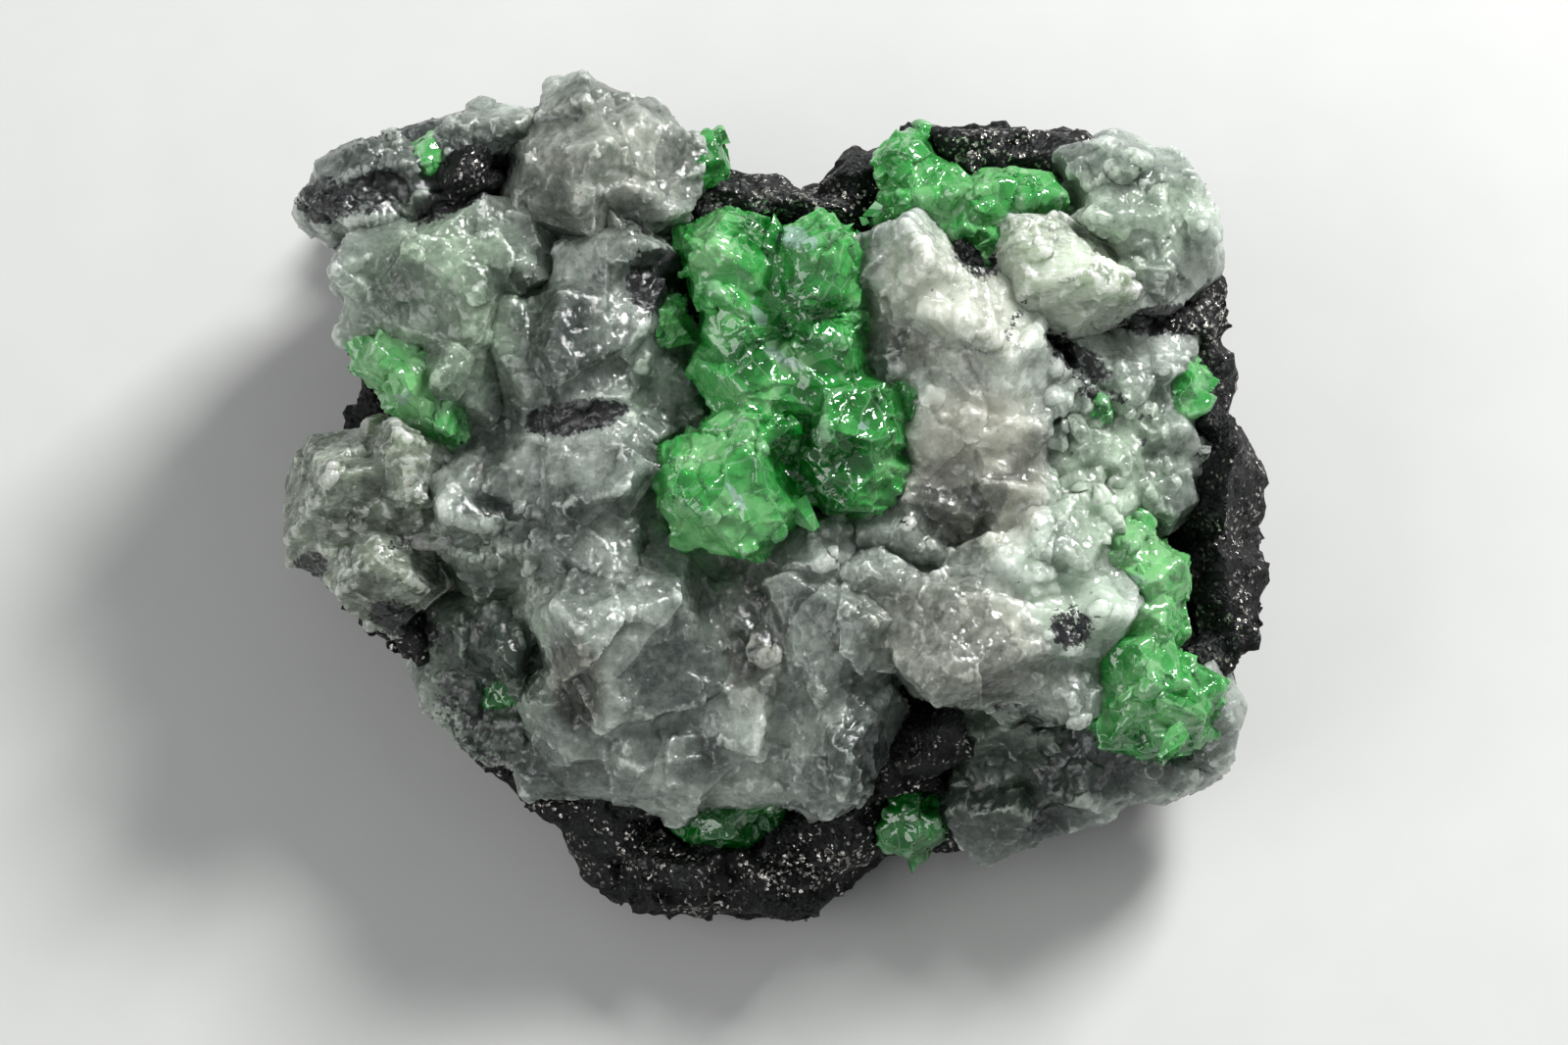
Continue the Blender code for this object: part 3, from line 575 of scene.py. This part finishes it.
# %% Shared patterns
def facets(node, place, size):
    """The height in mm of flat facets of this size, each tilted its own way."""
    cell = node("TexVoronoi", {"Vector": place, "Scale": 1 / size}, out="Color")
    tilt = node("VectorMath", {0: cell, 1: (0.5,) * 3}, operation="SUBTRACT")
    seed = cell.node.outputs["Position"]
    away = node("VectorMath", {0: place, 1: seed}, operation="SUBTRACT")
    return node("VectorMath", {0: tilt, 1: away}, out="Value", operation="DOT_PRODUCT")


def soot_film(node, mottle):
    """1 where a film of graphite lies, 0 elsewhere, with an edge that the mottle has eaten."""
    patch = node("Attribute", {}, out="Fac", attribute_name="soot")
    level = node("Math", {0: mottle, 1: 2.4, 2: patch}, **TIMES_PLUS)
    return node("MapRange", {0: level, 1: 1.75, 2: 1.98}, **SMOOTH)


def healed_blocks(node, place, size, crooked=0.9):
    """A number for each block between the cracks, and the cells that it comes from."""
    sway = node("TexNoise", {"Vector": place, "Scale": 1.2 / size, "Detail": 1.0}, out="Color")
    swayed = node("VectorMath", {0: sway, 1: (crooked * size,) * 3, 2: place}, **TIMES_PLUS)
    cells = {"Vector": swayed, "Scale": 1 / size}
    return node("SeparateColor", {0: node("TexVoronoi", cells, out="Color")}), cells


def crack_distance(node, cells, size):
    """How near the crack between two of these blocks is, in mm."""
    near = node("TexVoronoi", cells, out="Distance", feature="DISTANCE_TO_EDGE")
    return node("Math", {0: near, 1: size}, operation="MULTIPLY")


print("shared patterns: facets, films, blocks and the cracks between them")

# %% [markdown]
# ## Quartz
#
# Vein quartz, broken by a hammer: clear deep down, but clouded by veils of tiny
# bubbles, and white along every thin edge. The milkier a place is, the paler its colour
# and the smaller its clear share, so light sinks in at the windows and comes back from
# the clouds. The window patches also carry painted shade on the lower part and the left
# and painted light at the upper right. What isn't clear lets light travel 1.3 mm under
# the skin. Its IOR is 1.54.

# %% Quartz finish
def make_quartz():
    # Fresh hammer breaks: glassy glints on small facets, a milky glow and whitish edges.
    material, node, place = new_finish("quartz, hammer-broken")
    veils = node("TexNoise", {"Vector": place, "Scale": 0.7, "Detail": 2.0})
    mottle = node("TexNoise", {"Vector": place, "Scale": 5.0, "Detail": 4.0, "Roughness": 0.7})
    block, _ = healed_blocks(node, place, 2.1)
    # Clear windows and milky clouds, with painted shade on the lower part and the left and painted
    # light at the upper right.
    window_and_painted_shade = node("Attribute", {}, out="Fac", attribute_name="window_and_painted_shade")
    ridge = node("Attribute", {}, out="Fac", attribute_name="ridge")
    warmth = node("Attribute", {}, out="Fac", attribute_name="warmth")

    milk_and_painted_shade = node("Math", {0: block, 1: 0.3, 2: veils}, **TIMES_PLUS)
    milk_and_painted_shade = node("Math", {0: mottle, 1: 0.7, 2: milk_and_painted_shade}, **TIMES_PLUS)
    milk_and_painted_shade = node("Math", {0: window_and_painted_shade, 1: -0.45, 2: milk_and_painted_shade}, **TIMES_PLUS)
    milk_and_painted_shade = node("MapRange", {0: milk_and_painted_shade, 1: 0.55, 2: 1.4})
    thin = node("Math", {0: mottle, 1: 1.2, 2: ridge}, **TIMES_PLUS)
    thin = node("MapRange", {0: thin, 1: 1.1, 2: 1.8, 4: 0.4}, **SMOOTH)
    body = node("Mix", {0: milk_and_painted_shade, 6: hex_colour("#5d6762"), 7: hex_colour("#c3cdc3")}, **COLOUR)
    body = node("Mix", {0: thin, 6: body, 7: hex_colour("#e1e9df")}, **COLOUR)
    brown = node("MapRange", {0: warmth, 1: 0.0, 2: 1.0})
    body = node("Mix", {0: brown, 6: body, 7: hex_colour("#fbece4")}, **TINT)
    green = node("MapRange", {0: warmth, 1: 0.0, 2: -1.0})
    body = node("Mix", {0: green, 6: body, 7: hex_colour("#dcecd6")}, **TINT)
    soot = soot_film(node, mottle)
    speck = node("MapRange", {0: mottle, 1: 0.33, 2: 0.29, 4: 0.8}, **SMOOTH)
    dark = node("Math", {0: soot, 1: speck}, operation="MAXIMUM")
    body = node("Mix", {0: dark, 6: body, 7: hex_colour("#1d1d1f")}, **COLOUR)

    solid = node("Math", {0: thin, 1: dark}, operation="MAXIMUM")
    solid = node("Math", {0: 1.0, 1: solid}, operation="SUBTRACT")
    clear = node("MapRange", {0: milk_and_painted_shade, 3: 0.65, 4: 0.15})
    clear = node("Math", {0: clear, 1: solid}, operation="MULTIPLY")
    rough = node("MapRange", {0: mottle, 1: 0.4, 2: 0.7, 3: 0.03, 4: 0.22})
    rough = node("Math", {0: soot, 1: 0.2, 2: rough}, **TIMES_PLUS)
    crushed = node("MapRange", {0: milk_and_painted_shade, 1: 0.2, 2: 0.8, 3: 0.25, 4: 0.7})
    height = node("Math", {0: facets(node, place, 0.24), 1: crushed}, operation="MULTIPLY")
    height = node("Math", {0: mottle, 1: 0.03, 2: height}, **TIMES_PLUS)
    shader = node("BsdfPrincipled", {
        "Base Color": body, "Transmission Weight": clear, "Roughness": rough, "IOR": 1.54,
        "Subsurface Weight": 1.0, "Subsurface Radius": (1.0, 1.0, 1.0),
        "Subsurface Scale": 1.3 * MM, "Normal": node("Bump", {"Height": height, "Distance": MM}),
    })
    node("OutputMaterial", {"Surface": shader})
    return material


quartz = make_quartz()
print("quartz nodes:", len(quartz.node_tree.nodes))

# %% [markdown]
# ## Pale crystals
#
# Two grains at the left and the upper right are clearer, with a straw-green tint and
# fine parallel cracks. They may be scapolite or diopside. They break much as quartz
# does, so most of its recipe serves again. A noise squeezed four times across the
# cracks, by a Mapping node, draws them.

# %% Pale crystal finish
def make_pale():
    # Broken across the grain: fine parallel streaks, clear green depths, whitish edges.
    material, node, place = new_finish("pale green crystal, broken")
    along = {"Vector": place, "Rotation": (0.4, 0.2, -0.7), "Scale": (1.0, 4.0, 1.0)}
    along = node("Mapping", along)
    grain = node("TexNoise", {"Vector": along, "Scale": 1.3, "Detail": 3.0, "Roughness": 0.65})
    mottle = node("TexNoise", {"Vector": place, "Scale": 5.0, "Detail": 4.0, "Roughness": 0.7})
    block, cells = healed_blocks(node, place, 1.1)
    near = crack_distance(node, cells, 1.1)
    # Clear windows and milky clouds, with painted shade on the lower part and the left and painted
    # light at the upper right.
    window_and_painted_shade = node("Attribute", {}, out="Fac", attribute_name="window_and_painted_shade")
    ridge = node("Attribute", {}, out="Fac", attribute_name="ridge")

    milk_and_painted_shade = node("Math", {0: block, 1: 0.3, 2: grain}, **TIMES_PLUS)
    milk_and_painted_shade = node("Math", {0: mottle, 1: 0.5, 2: milk_and_painted_shade}, **TIMES_PLUS)
    milk_and_painted_shade = node("Math", {0: window_and_painted_shade, 1: -0.5, 2: milk_and_painted_shade}, **TIMES_PLUS)
    milk_and_painted_shade = node("MapRange", {0: milk_and_painted_shade, 1: 0.55, 2: 1.35})
    crack = node("MapRange", {0: near, 1: 0.04, 2: 0.0, 4: 0.2}, **SMOOTH)
    edge = node("Math", {0: mottle, 1: 1.2, 2: ridge}, **TIMES_PLUS)
    edge = node("MapRange", {0: edge, 1: 0.9, 2: 1.5, 4: 0.8}, **SMOOTH)
    thin = node("Math", {0: crack, 1: edge}, operation="MAXIMUM")
    soot = soot_film(node, mottle)
    body = node("Mix", {0: milk_and_painted_shade, 6: hex_colour("#626d5e"), 7: hex_colour("#cbd5c4")}, **COLOUR)
    body = node("Mix", {0: thin, 6: body, 7: hex_colour("#e6ecdf")}, **COLOUR)
    body = node("Mix", {0: soot, 6: body, 7: hex_colour("#1c1d1d")}, **COLOUR)

    solid = node("Math", {0: 1.0, 1: soot}, operation="SUBTRACT")
    clear = node("MapRange", {0: milk_and_painted_shade, 3: 0.7, 4: 0.2})
    clear = node("Math", {0: clear, 1: solid}, operation="MULTIPLY")
    rough = node("MapRange", {0: mottle, 1: 0.4, 2: 0.7, 3: 0.04, 4: 0.25})
    height = node("Math", {0: facets(node, place, 0.4), 1: 0.4}, operation="MULTIPLY")
    height = node("Math", {0: facets(node, place, 0.16), 1: 0.4, 2: height}, **TIMES_PLUS)
    height = node("Math", {0: grain, 1: 0.08, 2: height}, **TIMES_PLUS)
    shader = node("BsdfPrincipled", {
        "Base Color": body, "Transmission Weight": clear, "Roughness": rough, "IOR": 1.57,
        "Subsurface Weight": 1.0, "Subsurface Radius": (0.9, 1.0, 0.8),
        "Subsurface Scale": 1.0 * MM, "Normal": node("Bump", {"Height": height, "Distance": MM}),
    })
    node("OutputMaterial", {"Surface": shader})
    return material


pale = make_pale()
print("pale crystal nodes:", len(pale.node_tree.nodes))

# %% [markdown]
# ## Tsavorite
#
# Grossular garnet coloured by vanadium: clear, bright green, and full of cracks that
# throw light back. Its IOR of 1.74 is high, so broken faces sparkle. The clear share,
# the IOR and the absorption are plain values. Each little block between the cracks
# sends back its own green; a few pale spots are painted glints, and a bluish white
# sheen is painted where flat cracks would mirror the light.

# %% Garnet finish
def make_garnet():
    # Natural fractures: clear green with lighter and darker blocks, and sparks of white.
    material, node, place = new_finish("tsavorite garnet, fractured")
    veils = node("TexNoise", {"Vector": place, "Scale": 0.9, "Detail": 2.0})
    mottle = node("TexNoise", {"Vector": place, "Scale": 6.0, "Detail": 3.0, "Roughness": 0.75})
    block, cells = healed_blocks(node, place, 0.95, 0.35)
    near = crack_distance(node, cells, 0.95)
    chip, _ = healed_blocks(node, place, 0.36, 0.35)
    # Mostly deep and pale garnet, with a few painted glints among the pale spots.
    green = node("Attribute", {}, out="Fac", attribute_name="green")
    painted_sheen = node("Attribute", {}, out="Fac", attribute_name="painted_sheen")
    ridge = node("Attribute", {}, out="Fac", attribute_name="ridge")

    tone = node("Math", {0: block, 1: 0.45, 2: veils}, **TIMES_PLUS)
    tone = node("Math", {0: chip, 1: 0.4, 2: tone}, **TIMES_PLUS)
    tone = node("Math", {0: mottle, 1: 0.2, 2: tone}, **TIMES_PLUS)
    tone = node("Math", {0: green, 1: 0.55, 2: tone}, **TIMES_PLUS)
    low = node("MapRange", {0: tone, 1: 0.45, 2: 1.0})
    high = node("MapRange", {0: tone, 1: 0.97, 2: 1.6})
    body = node("Mix", {0: low, 6: hex_colour("#0f7a22"), 7: hex_colour("#4cc75c")}, **COLOUR)
    body = node("Mix", {0: high, 6: body, 7: hex_colour("#a4f0a2")}, **COLOUR)
    crack = node("MapRange", {0: near, 1: 0.04, 2: 0.0, 4: 0.3}, **SMOOTH)
    edge = node("Math", {0: mottle, 1: 1.2, 2: ridge}, **TIMES_PLUS)
    edge = node("MapRange", {0: edge, 1: 1.1, 2: 1.7, 4: 0.5}, **SMOOTH)
    thin = node("Math", {0: crack, 1: edge}, operation="MAXIMUM")
    body = node("Mix", {0: thin, 6: body, 7: hex_colour("#c6f5c9")}, **COLOUR)
    # Painted sheen: the colour is pushed to bluish white where a flat crack would mirror the light.
    shine = node("Math", {0: chip, 1: 0.8, 2: painted_sheen}, **TIMES_PLUS)
    shine = node("MapRange", {0: shine, 1: 1.1, 2: 1.3, 4: 0.55}, **SMOOTH)
    body = node("Mix", {0: shine, 6: body, 7: hex_colour("#e0f5fa")}, **COLOUR)

    rough = node("MapRange", {0: mottle, 1: 0.45, 2: 0.75, 3: 0.02, 4: 0.15})
    height = node("Math", {0: facets(node, place, 0.75), 1: 0.4}, operation="MULTIPLY")
    height = node("Math", {0: facets(node, place, 0.28), 1: 0.35, 2: height}, **TIMES_PLUS)
    shader = node("BsdfPrincipled", {
        "Base Color": body, "Transmission Weight": 0.6, "Roughness": rough, "IOR": 1.74,
        "Normal": node("Bump", {"Height": height, "Distance": MM}),
    })
    absorbed = node("VolumeAbsorption", {"Color": hex_colour("#6fe085"), "Density": 200.0})
    node("OutputMaterial", {"Surface": shader, "Volume": absorbed})
    return material


garnet = make_garnet()
print("garnet nodes:", len(garnet.node_tree.nodes))

# %% [markdown]
# ## Graphite rock
#
# A gneiss so full of graphite that it is black. Each flake is a little mirror of
# silvery brown, and only the flakes that face the light shine. Cells 0.08 mm wide, each
# tilted its own way, are the flakes. The rest is dull.

# %% Graphite finish
def make_graphite():
    # Torn along its flakes: a sooty black with silvery sparks.
    material, node, place = new_finish("graphite gneiss, broken")
    cell = node("TexVoronoi", {"Vector": place, "Scale": 13.0}, out="Color")
    flake = node("SeparateColor", {0: cell})
    glitter = node("Attribute", {}, out="Fac", attribute_name="glitter")
    zones = node("TexNoise", {"Vector": place, "Scale": 0.8, "Detail": 2.0, "Roughness": 0.6})
    grains = node("TexNoise", {"Vector": place, "Scale": 3.0, "Detail": 4.0, "Roughness": 0.65})
    shine = node("Math", {0: glitter, 1: 0.18, 2: flake}, **TIMES_PLUS)
    shine = node("Math", {0: zones, 1: 0.8, 2: shine}, **TIMES_PLUS)
    shine = node("MapRange", {0: shine, 1: 1.33, 2: 1.42}, **SMOOTH)
    grey = node("Math", {0: glitter, 1: 0.09, 2: grains}, **TIMES_PLUS)
    grey = node("MapRange", {0: grey, 1: 0.62, 2: 0.78}, **SMOOTH)
    body = node("Mix", {0: grains, 6: hex_colour("#060607"), 7: hex_colour("#131415")}, **COLOUR)
    body = node("Mix", {0: grey, 6: body, 7: hex_colour("#434745")}, **COLOUR)
    body = node("Mix", {0: shine, 6: body, 7: hex_colour("#b5b1ab")}, **COLOUR)
    metal = node("Math", {0: shine, 1: 0.9}, operation="MULTIPLY")
    rough = node("MapRange", {0: shine, 3: 0.5, 4: 0.2})
    height = node("Math", {0: facets(node, place, 0.077), 1: 1.2}, operation="MULTIPLY")
    height = node("Math", {0: grains, 1: 0.15, 2: height}, **TIMES_PLUS)
    shader = node("BsdfPrincipled", {
        "Base Color": body, "Metallic": metal, "Roughness": rough, "Specular IOR Level": 0.25,
        "Normal": node("Bump", {"Height": height, "Distance": MM}),
    })
    node("OutputMaterial", {"Surface": shader})
    return material


graphite = make_graphite()
print("graphite nodes:", len(graphite.node_tree.nodes))

# %% [markdown]
# ## Recipes for the skins
#
# The same steps dress every grain, and only the numbers differ. Garnet gets the finest
# skin, because its facets are the sharpest, and the dull rock the coarsest. Quartz is
# crushed to a rubble of small grains in some places only, so these are marked too.

# %% Skins and chips
VOXEL = {"quartz": 0.062, "pale": 0.06, "garnet": 0.045, "graphite": 0.13}  # mm
FILLED = {"quartz": 0.4, "pale": 0.25, "garnet": 0.2, "graphite": 0.0}  # mm to either side
GRANULAR = [  # crushed quartz, as patches
    (7.3, -1.6, 1.7, 2.4, 0, 1.0), (8.4, 1.8, 2.2, 3.0, 0, 1.0), (9.4, 7.3, 2.2, 1.3, 0, 0.8),
    (2.6, -1.6, 2.4, 0.8, -15, 0.9), (-9.0, 7.8, 2.4, 1.0, 0, 1.0), (-7.0, -3.8, 1.6, 3.2, 10, 0.8),
    (-5.6, -0.6, 1.2, 1.6, 0, 0.6), (5.9, 4.6, 1.0, 2.0, -30, 0.5), (-3.6, 6.9, 1.6, 0.6, 0, 0.6),
    (7.5, -6.2, 2.6, 1.0, 0, 0.6), (9.6, 5.2, 1.6, 1.4, 0, 0.6), (-4.3, 1.9, 1.4, 0.6, 0, 0.5),
    (0.9, -6.8, 1.4, 0.8, 0, 0.6), (-0.5, -4.6, 0.8, 1.4, 0, 0.5),
]


def granular(spots):
    return patched(spots, GRANULAR)


CHIPS = {  # chips per mm2, half-widths in mm, how far sunk, flatness, and where
    "quartz": [(2.2, (0.18, 0.42), 0.8, 0.9, granular)],
    "pale": [(0.8, (0.2, 0.5), 0.75, 0.8)],
    "garnet": [(0.6, (0.3, 0.6), 0.75, 0.8)],
    "graphite": [(1.0, (0.25, 0.6), 0.55, 0.7), (1.5, (0.12, 0.3), 0.5, 0.8)],
    "garnet_upper_right": [(1.8, (0.2, 0.45), 0.65, 0.8)],
    "garnet_lower_right": [(0.7, (0.35, 0.6), 0.8, 0.9)],
}
SPLINTERS = (0.8, (0.12, 0.32), 0.85, 0.8)  # the same, for the sharp ones on the garnets
print("crushed places in the quartz:", len(GRANULAR))

# %% [markdown]
# The relief comes in layers, the widest first. Garnet breaks in flat steps, so its
# tilts are strong and its scoops weak, and the rock is rough at every size. Every
# glassy grain also grows a little, so that neighbours meet as crystals do.

# %% Relief
LAYERS = {  # size, scoop, tilt and noise of each layer, in mm
    "quartz": [(1.9, 0.14, 0.18, 0.0), (0.7, 0.03, 0.1, 0.01), (0.3, 0.01, 0.035, 0.004)],
    "pale": [(1.3, 0.1, 0.16, 0.0), (0.55, 0.03, 0.08, 0.006), (0.26, 0.01, 0.03, 0.004)],
    "garnet": [(1.5, 0.06, 0.17, 0.0), (0.6, 0.015, 0.08, 0.0)],
    "graphite": [(1.5, 0.15, 0.15, 0.12), (0.6, 0.08, 0.08, 0.05)],
}
GROWN = {"quartz": 0.09, "pale": 0.07, "garnet": 0.05, "graphite": 0.0}  # mm
RIDGE_FULL = {"quartz": 0.045, "pale": 0.045, "garnet": 0.04, "graphite": 0.1}  # mm
KEPT_FACES = 0.56  # share that the decimation keeps


def shaped(grain, mineral, picks):
    """The grain's finished skin in the face's millimetres, with its ridges marked."""
    bm = copy_of(grain)
    if mineral == "quartz":
        bed_under(bm)
    if FILLED[mineral]:
        fill_creases(bm, FILLED[mineral])
    for chips_here in CHIPS.get(grain, CHIPS[mineral]):
        scatter_chips(bm, picks, *chips_here)
    mesh = remeshed(bm, VOXEL[mineral])
    fracture(mesh, LAYERS[mineral], GROWN[mineral])
    mark_ridges(mesh, RIDGE_FULL[mineral])
    mesh = with_modifier(mesh, "DECIMATE", ratio=KEPT_FACES)
    mesh.shade_smooth()
    return mesh


print("layers of relief:", {mineral: len(layers) for mineral, layers in LAYERS.items()})

# %% [markdown]
# ## Cracks inside the garnets
#
# A garnet as broken as these has cracks inside, and each is a mirror, because a gap of
# air throws the light back. Here each is a real gap: a chip squashed to a thin lens,
# with its faces turned inwards. It is no longer than the room round it, so that none
# breaks through the skin. Sharp splinters are set on the skin last, so that the remesh
# doesn't round them.

# %% Inner cracks and splinters
CRACKS_PER_MM2 = 0.4
CRACK_DEPTHS = (0.3, 1.1)  # mm under the skin
CRACK_SIZES = (0.15, 0.5)  # half-widths in mm
CRACK_OPENING = 0.012  # half-thickness in mm


def crack_and_splinter(mesh, picks):
    """Thin empty lenses inside the crystal, and sharp splinters on its skin."""
    places, normals = corners(mesh)
    area = sum(face.area for face in mesh.polygons)
    bm = bmesh.new()
    bm.from_mesh(mesh)
    skin = BVHTree.FromBMesh(bm)
    cracks = bmesh.new()
    for _ in range(int(area * CRACKS_PER_MM2)):
        k = picks.randrange(len(places))
        spot = Vector(places[k]) - Vector(normals[k]) * picks.uniform(*CRACK_DEPTHS)
        room = skin.find_nearest(spot)[3]
        size = min(picks.uniform(*CRACK_SIZES), room / CHIP_REACH)
        facing = Vector([picks.gauss(0, 1) for _ in range(3)]).normalized()
        half_sizes = (size, size * picks.uniform(0.3, 1.0), CRACK_OPENING)
        sink_chip(cracks, picks.choice(chips), spot, facing, half_sizes)
    bmesh.ops.reverse_faces(cracks, faces=cracks.faces)
    scatter_chips(bm, picks, *SPLINTERS)
    join(bm, cracks)
    bm.to_mesh(mesh)
    bm.free()


print("longest inner crack in mm:", 2 * CRACK_SIZES[1], "opening:", 2 * CRACK_OPENING)

# %% [markdown]
# ## Dress a grain
#
# The finished skin gets its patches and its finish and goes back to its place in the
# world. Nothing may sink in the table, so corners below it are lifted to it. Then the
# skin rides on the one body and stands for its solid.

# %% Dress one grain
FINISHES = {"quartz": quartz, "pale": pale, "garnet": garnet, "graphite": graphite}
PATCHES = {
    "quartz": {"soot": SOOT, "window_and_painted_shade": WINDOWS_AND_PAINTED_SHADE, "warmth": WARMTH},
    "pale": {"soot": SOOT, "window_and_painted_shade": WINDOWS_AND_PAINTED_SHADE},
    "garnet": {"green": GREENS_AND_PAINTED_GLINTS, "painted_sheen": PAINTED_SHEENS},
    "graphite": {"glitter": GLITTER},
}


def dress(node):
    """Makes the finished piece that stands for this solid."""
    mineral = node.split("_")[0]
    picks = random.Random(node)
    mesh = shaped(node, mineral, picks)
    if mineral == "garnet":
        crack_and_splinter(mesh, picks)
    places, _ = corners(mesh)
    for name, patches in PATCHES[mineral].items():
        keep_attribute(mesh, name, patched(places, patches))
    mesh.transform(face_to_world)
    places, _ = corners(mesh)
    places[:, 2] = np.maximum(places[:, 2], 0.0)
    move_corners(mesh, places)
    mesh.materials.clear()
    mesh.materials.append(FINISHES[mineral])
    piece = bpy.data.objects.new(node + "_skin", mesh)
    bpy.context.scene.collection.objects.link(piece)
    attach(piece, "root")
    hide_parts(node)
    return piece


print("patches by mineral:", {mineral: list(names) for mineral, names in PATCHES.items()})

# %% [markdown]
# ## Dress them all
#
# One pass over the solids' names, always in the same order.

# %% All the grains
pieces = [dress(node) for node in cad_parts]
for piece in pieces:
    piece.data.calc_loop_triangles()
triangles = [len(piece.data.loop_triangles) for piece in pieces]
print("pieces:", len(pieces), "triangles:", sum(triangles), "most in one:", max(triangles))

# %% [markdown]
# ## Floor
#
# The stone lies on a sheet of pale matt paper, which has next to no pattern. One square
# is enough, because it is never seen from below.

# %% Floor
FLOOR_WIDTH = 1.2  # m


def make_floor():
    # Uncoated paper: no shine, and fibres that only just show.
    material, node, place = new_finish("matt paper floor")
    fibres = node("TexNoise", {"Vector": place, "Scale": 0.5, "Detail": 3.0})
    paper = node("Mix", {0: fibres, 6: hex_colour("#b4b5b3"), 7: hex_colour("#b9bab8")}, **COLOUR)
    shader = node("BsdfPrincipled", {"Base Color": paper, "Roughness": 0.9})
    node("OutputMaterial", {"Surface": shader})
    bm = bmesh.new()
    bmesh.ops.create_grid(bm, x_segments=1, y_segments=1, size=FLOOR_WIDTH / 2)
    mesh = bpy.data.meshes.new("floor")
    bm.to_mesh(mesh)
    bm.free()
    mesh.materials.append(material)
    floor = bpy.data.objects.new("floor", mesh)
    bpy.context.scene.collection.objects.link(floor)


make_floor()
print("floor width in metres:", FLOOR_WIDTH)

# %% [markdown]
# ## Light
#
# On the photo one lamp stands at the upper right, so the soft key light does too. A
# wide weak fill from the left opens the shadows, and a pale world gives every glassy
# face something to mirror. Blender's usual view transform greys strong colours and
# would dull the garnets, so the plain Standard one takes its place.

# %% Light
LIT_SPOT = Vector((0, 0, 0.006))  # m


def add_light(name, spot, size, watts):
    """A square light that faces the stone, placed in metres."""
    light = bpy.data.lights.new(name, "AREA")
    light.size = size
    light.energy = watts
    lamp = bpy.data.objects.new(name, light)
    lamp.location = spot
    lamp.rotation_euler = (LIT_SPOT - Vector(spot)).to_track_quat("-Z", "Y").to_euler()
    bpy.context.scene.collection.objects.link(lamp)


add_light("key", (0.07, 0.075, 0.11), 0.045, 0.37)
add_light("fill", (-0.25, -0.12, 0.2), 0.25, 0.58)
world = bpy.data.worlds.new("studio")
bpy.context.scene.world = world
world.use_nodes = True
sky = world.node_tree.nodes["Background"].inputs
sky["Color"].default_value = hex_colour("#e6e8ea")
sky["Strength"].default_value = 0.45
bpy.context.scene.view_settings.view_transform = "Standard"
print("lights:", [light.name for light in bpy.data.lights])

# %% [markdown]
# ## Camera
#
# The photo looks straight at the crystal face, which leans 21 degrees from level, so
# the camera stands 69 degrees above the table. A long lens keeps the far side of the
# stone nearly as big as the near side, as on the photo.

# %% Camera
CAMERA_ELEVATION = math.radians(69)
FRAME_WIDTH = 37.74  # mm across the picture, at the crystal face
LENS, SENSOR = 200.0, 36.0
AIM = (0.236, -0.471)  # mm right of the face's middle and above it, as the camera sees it

back = Vector((0, -math.cos(CAMERA_ELEVATION), math.sin(CAMERA_ELEVATION)))
upward = Vector((0, math.sin(CAMERA_ELEVATION), math.cos(CAMERA_ELEVATION)))
target = FACE_MIDDLE + Vector((AIM[0], 0, 0)) + upward * AIM[1]
lens = bpy.data.cameras.new("camera")
lens.lens, lens.sensor_width = LENS, SENSOR
lens.clip_start = 0.01
camera = bpy.data.objects.new("camera", lens)
camera.location = (target + back * FRAME_WIDTH * LENS / SENSOR) * MM
camera.rotation_euler = back.to_track_quat("Z", "Y").to_euler()
bpy.context.scene.collection.objects.link(camera)
bpy.context.scene.camera = camera
print("camera in metres:", [round(x, 4) for x in camera.location])
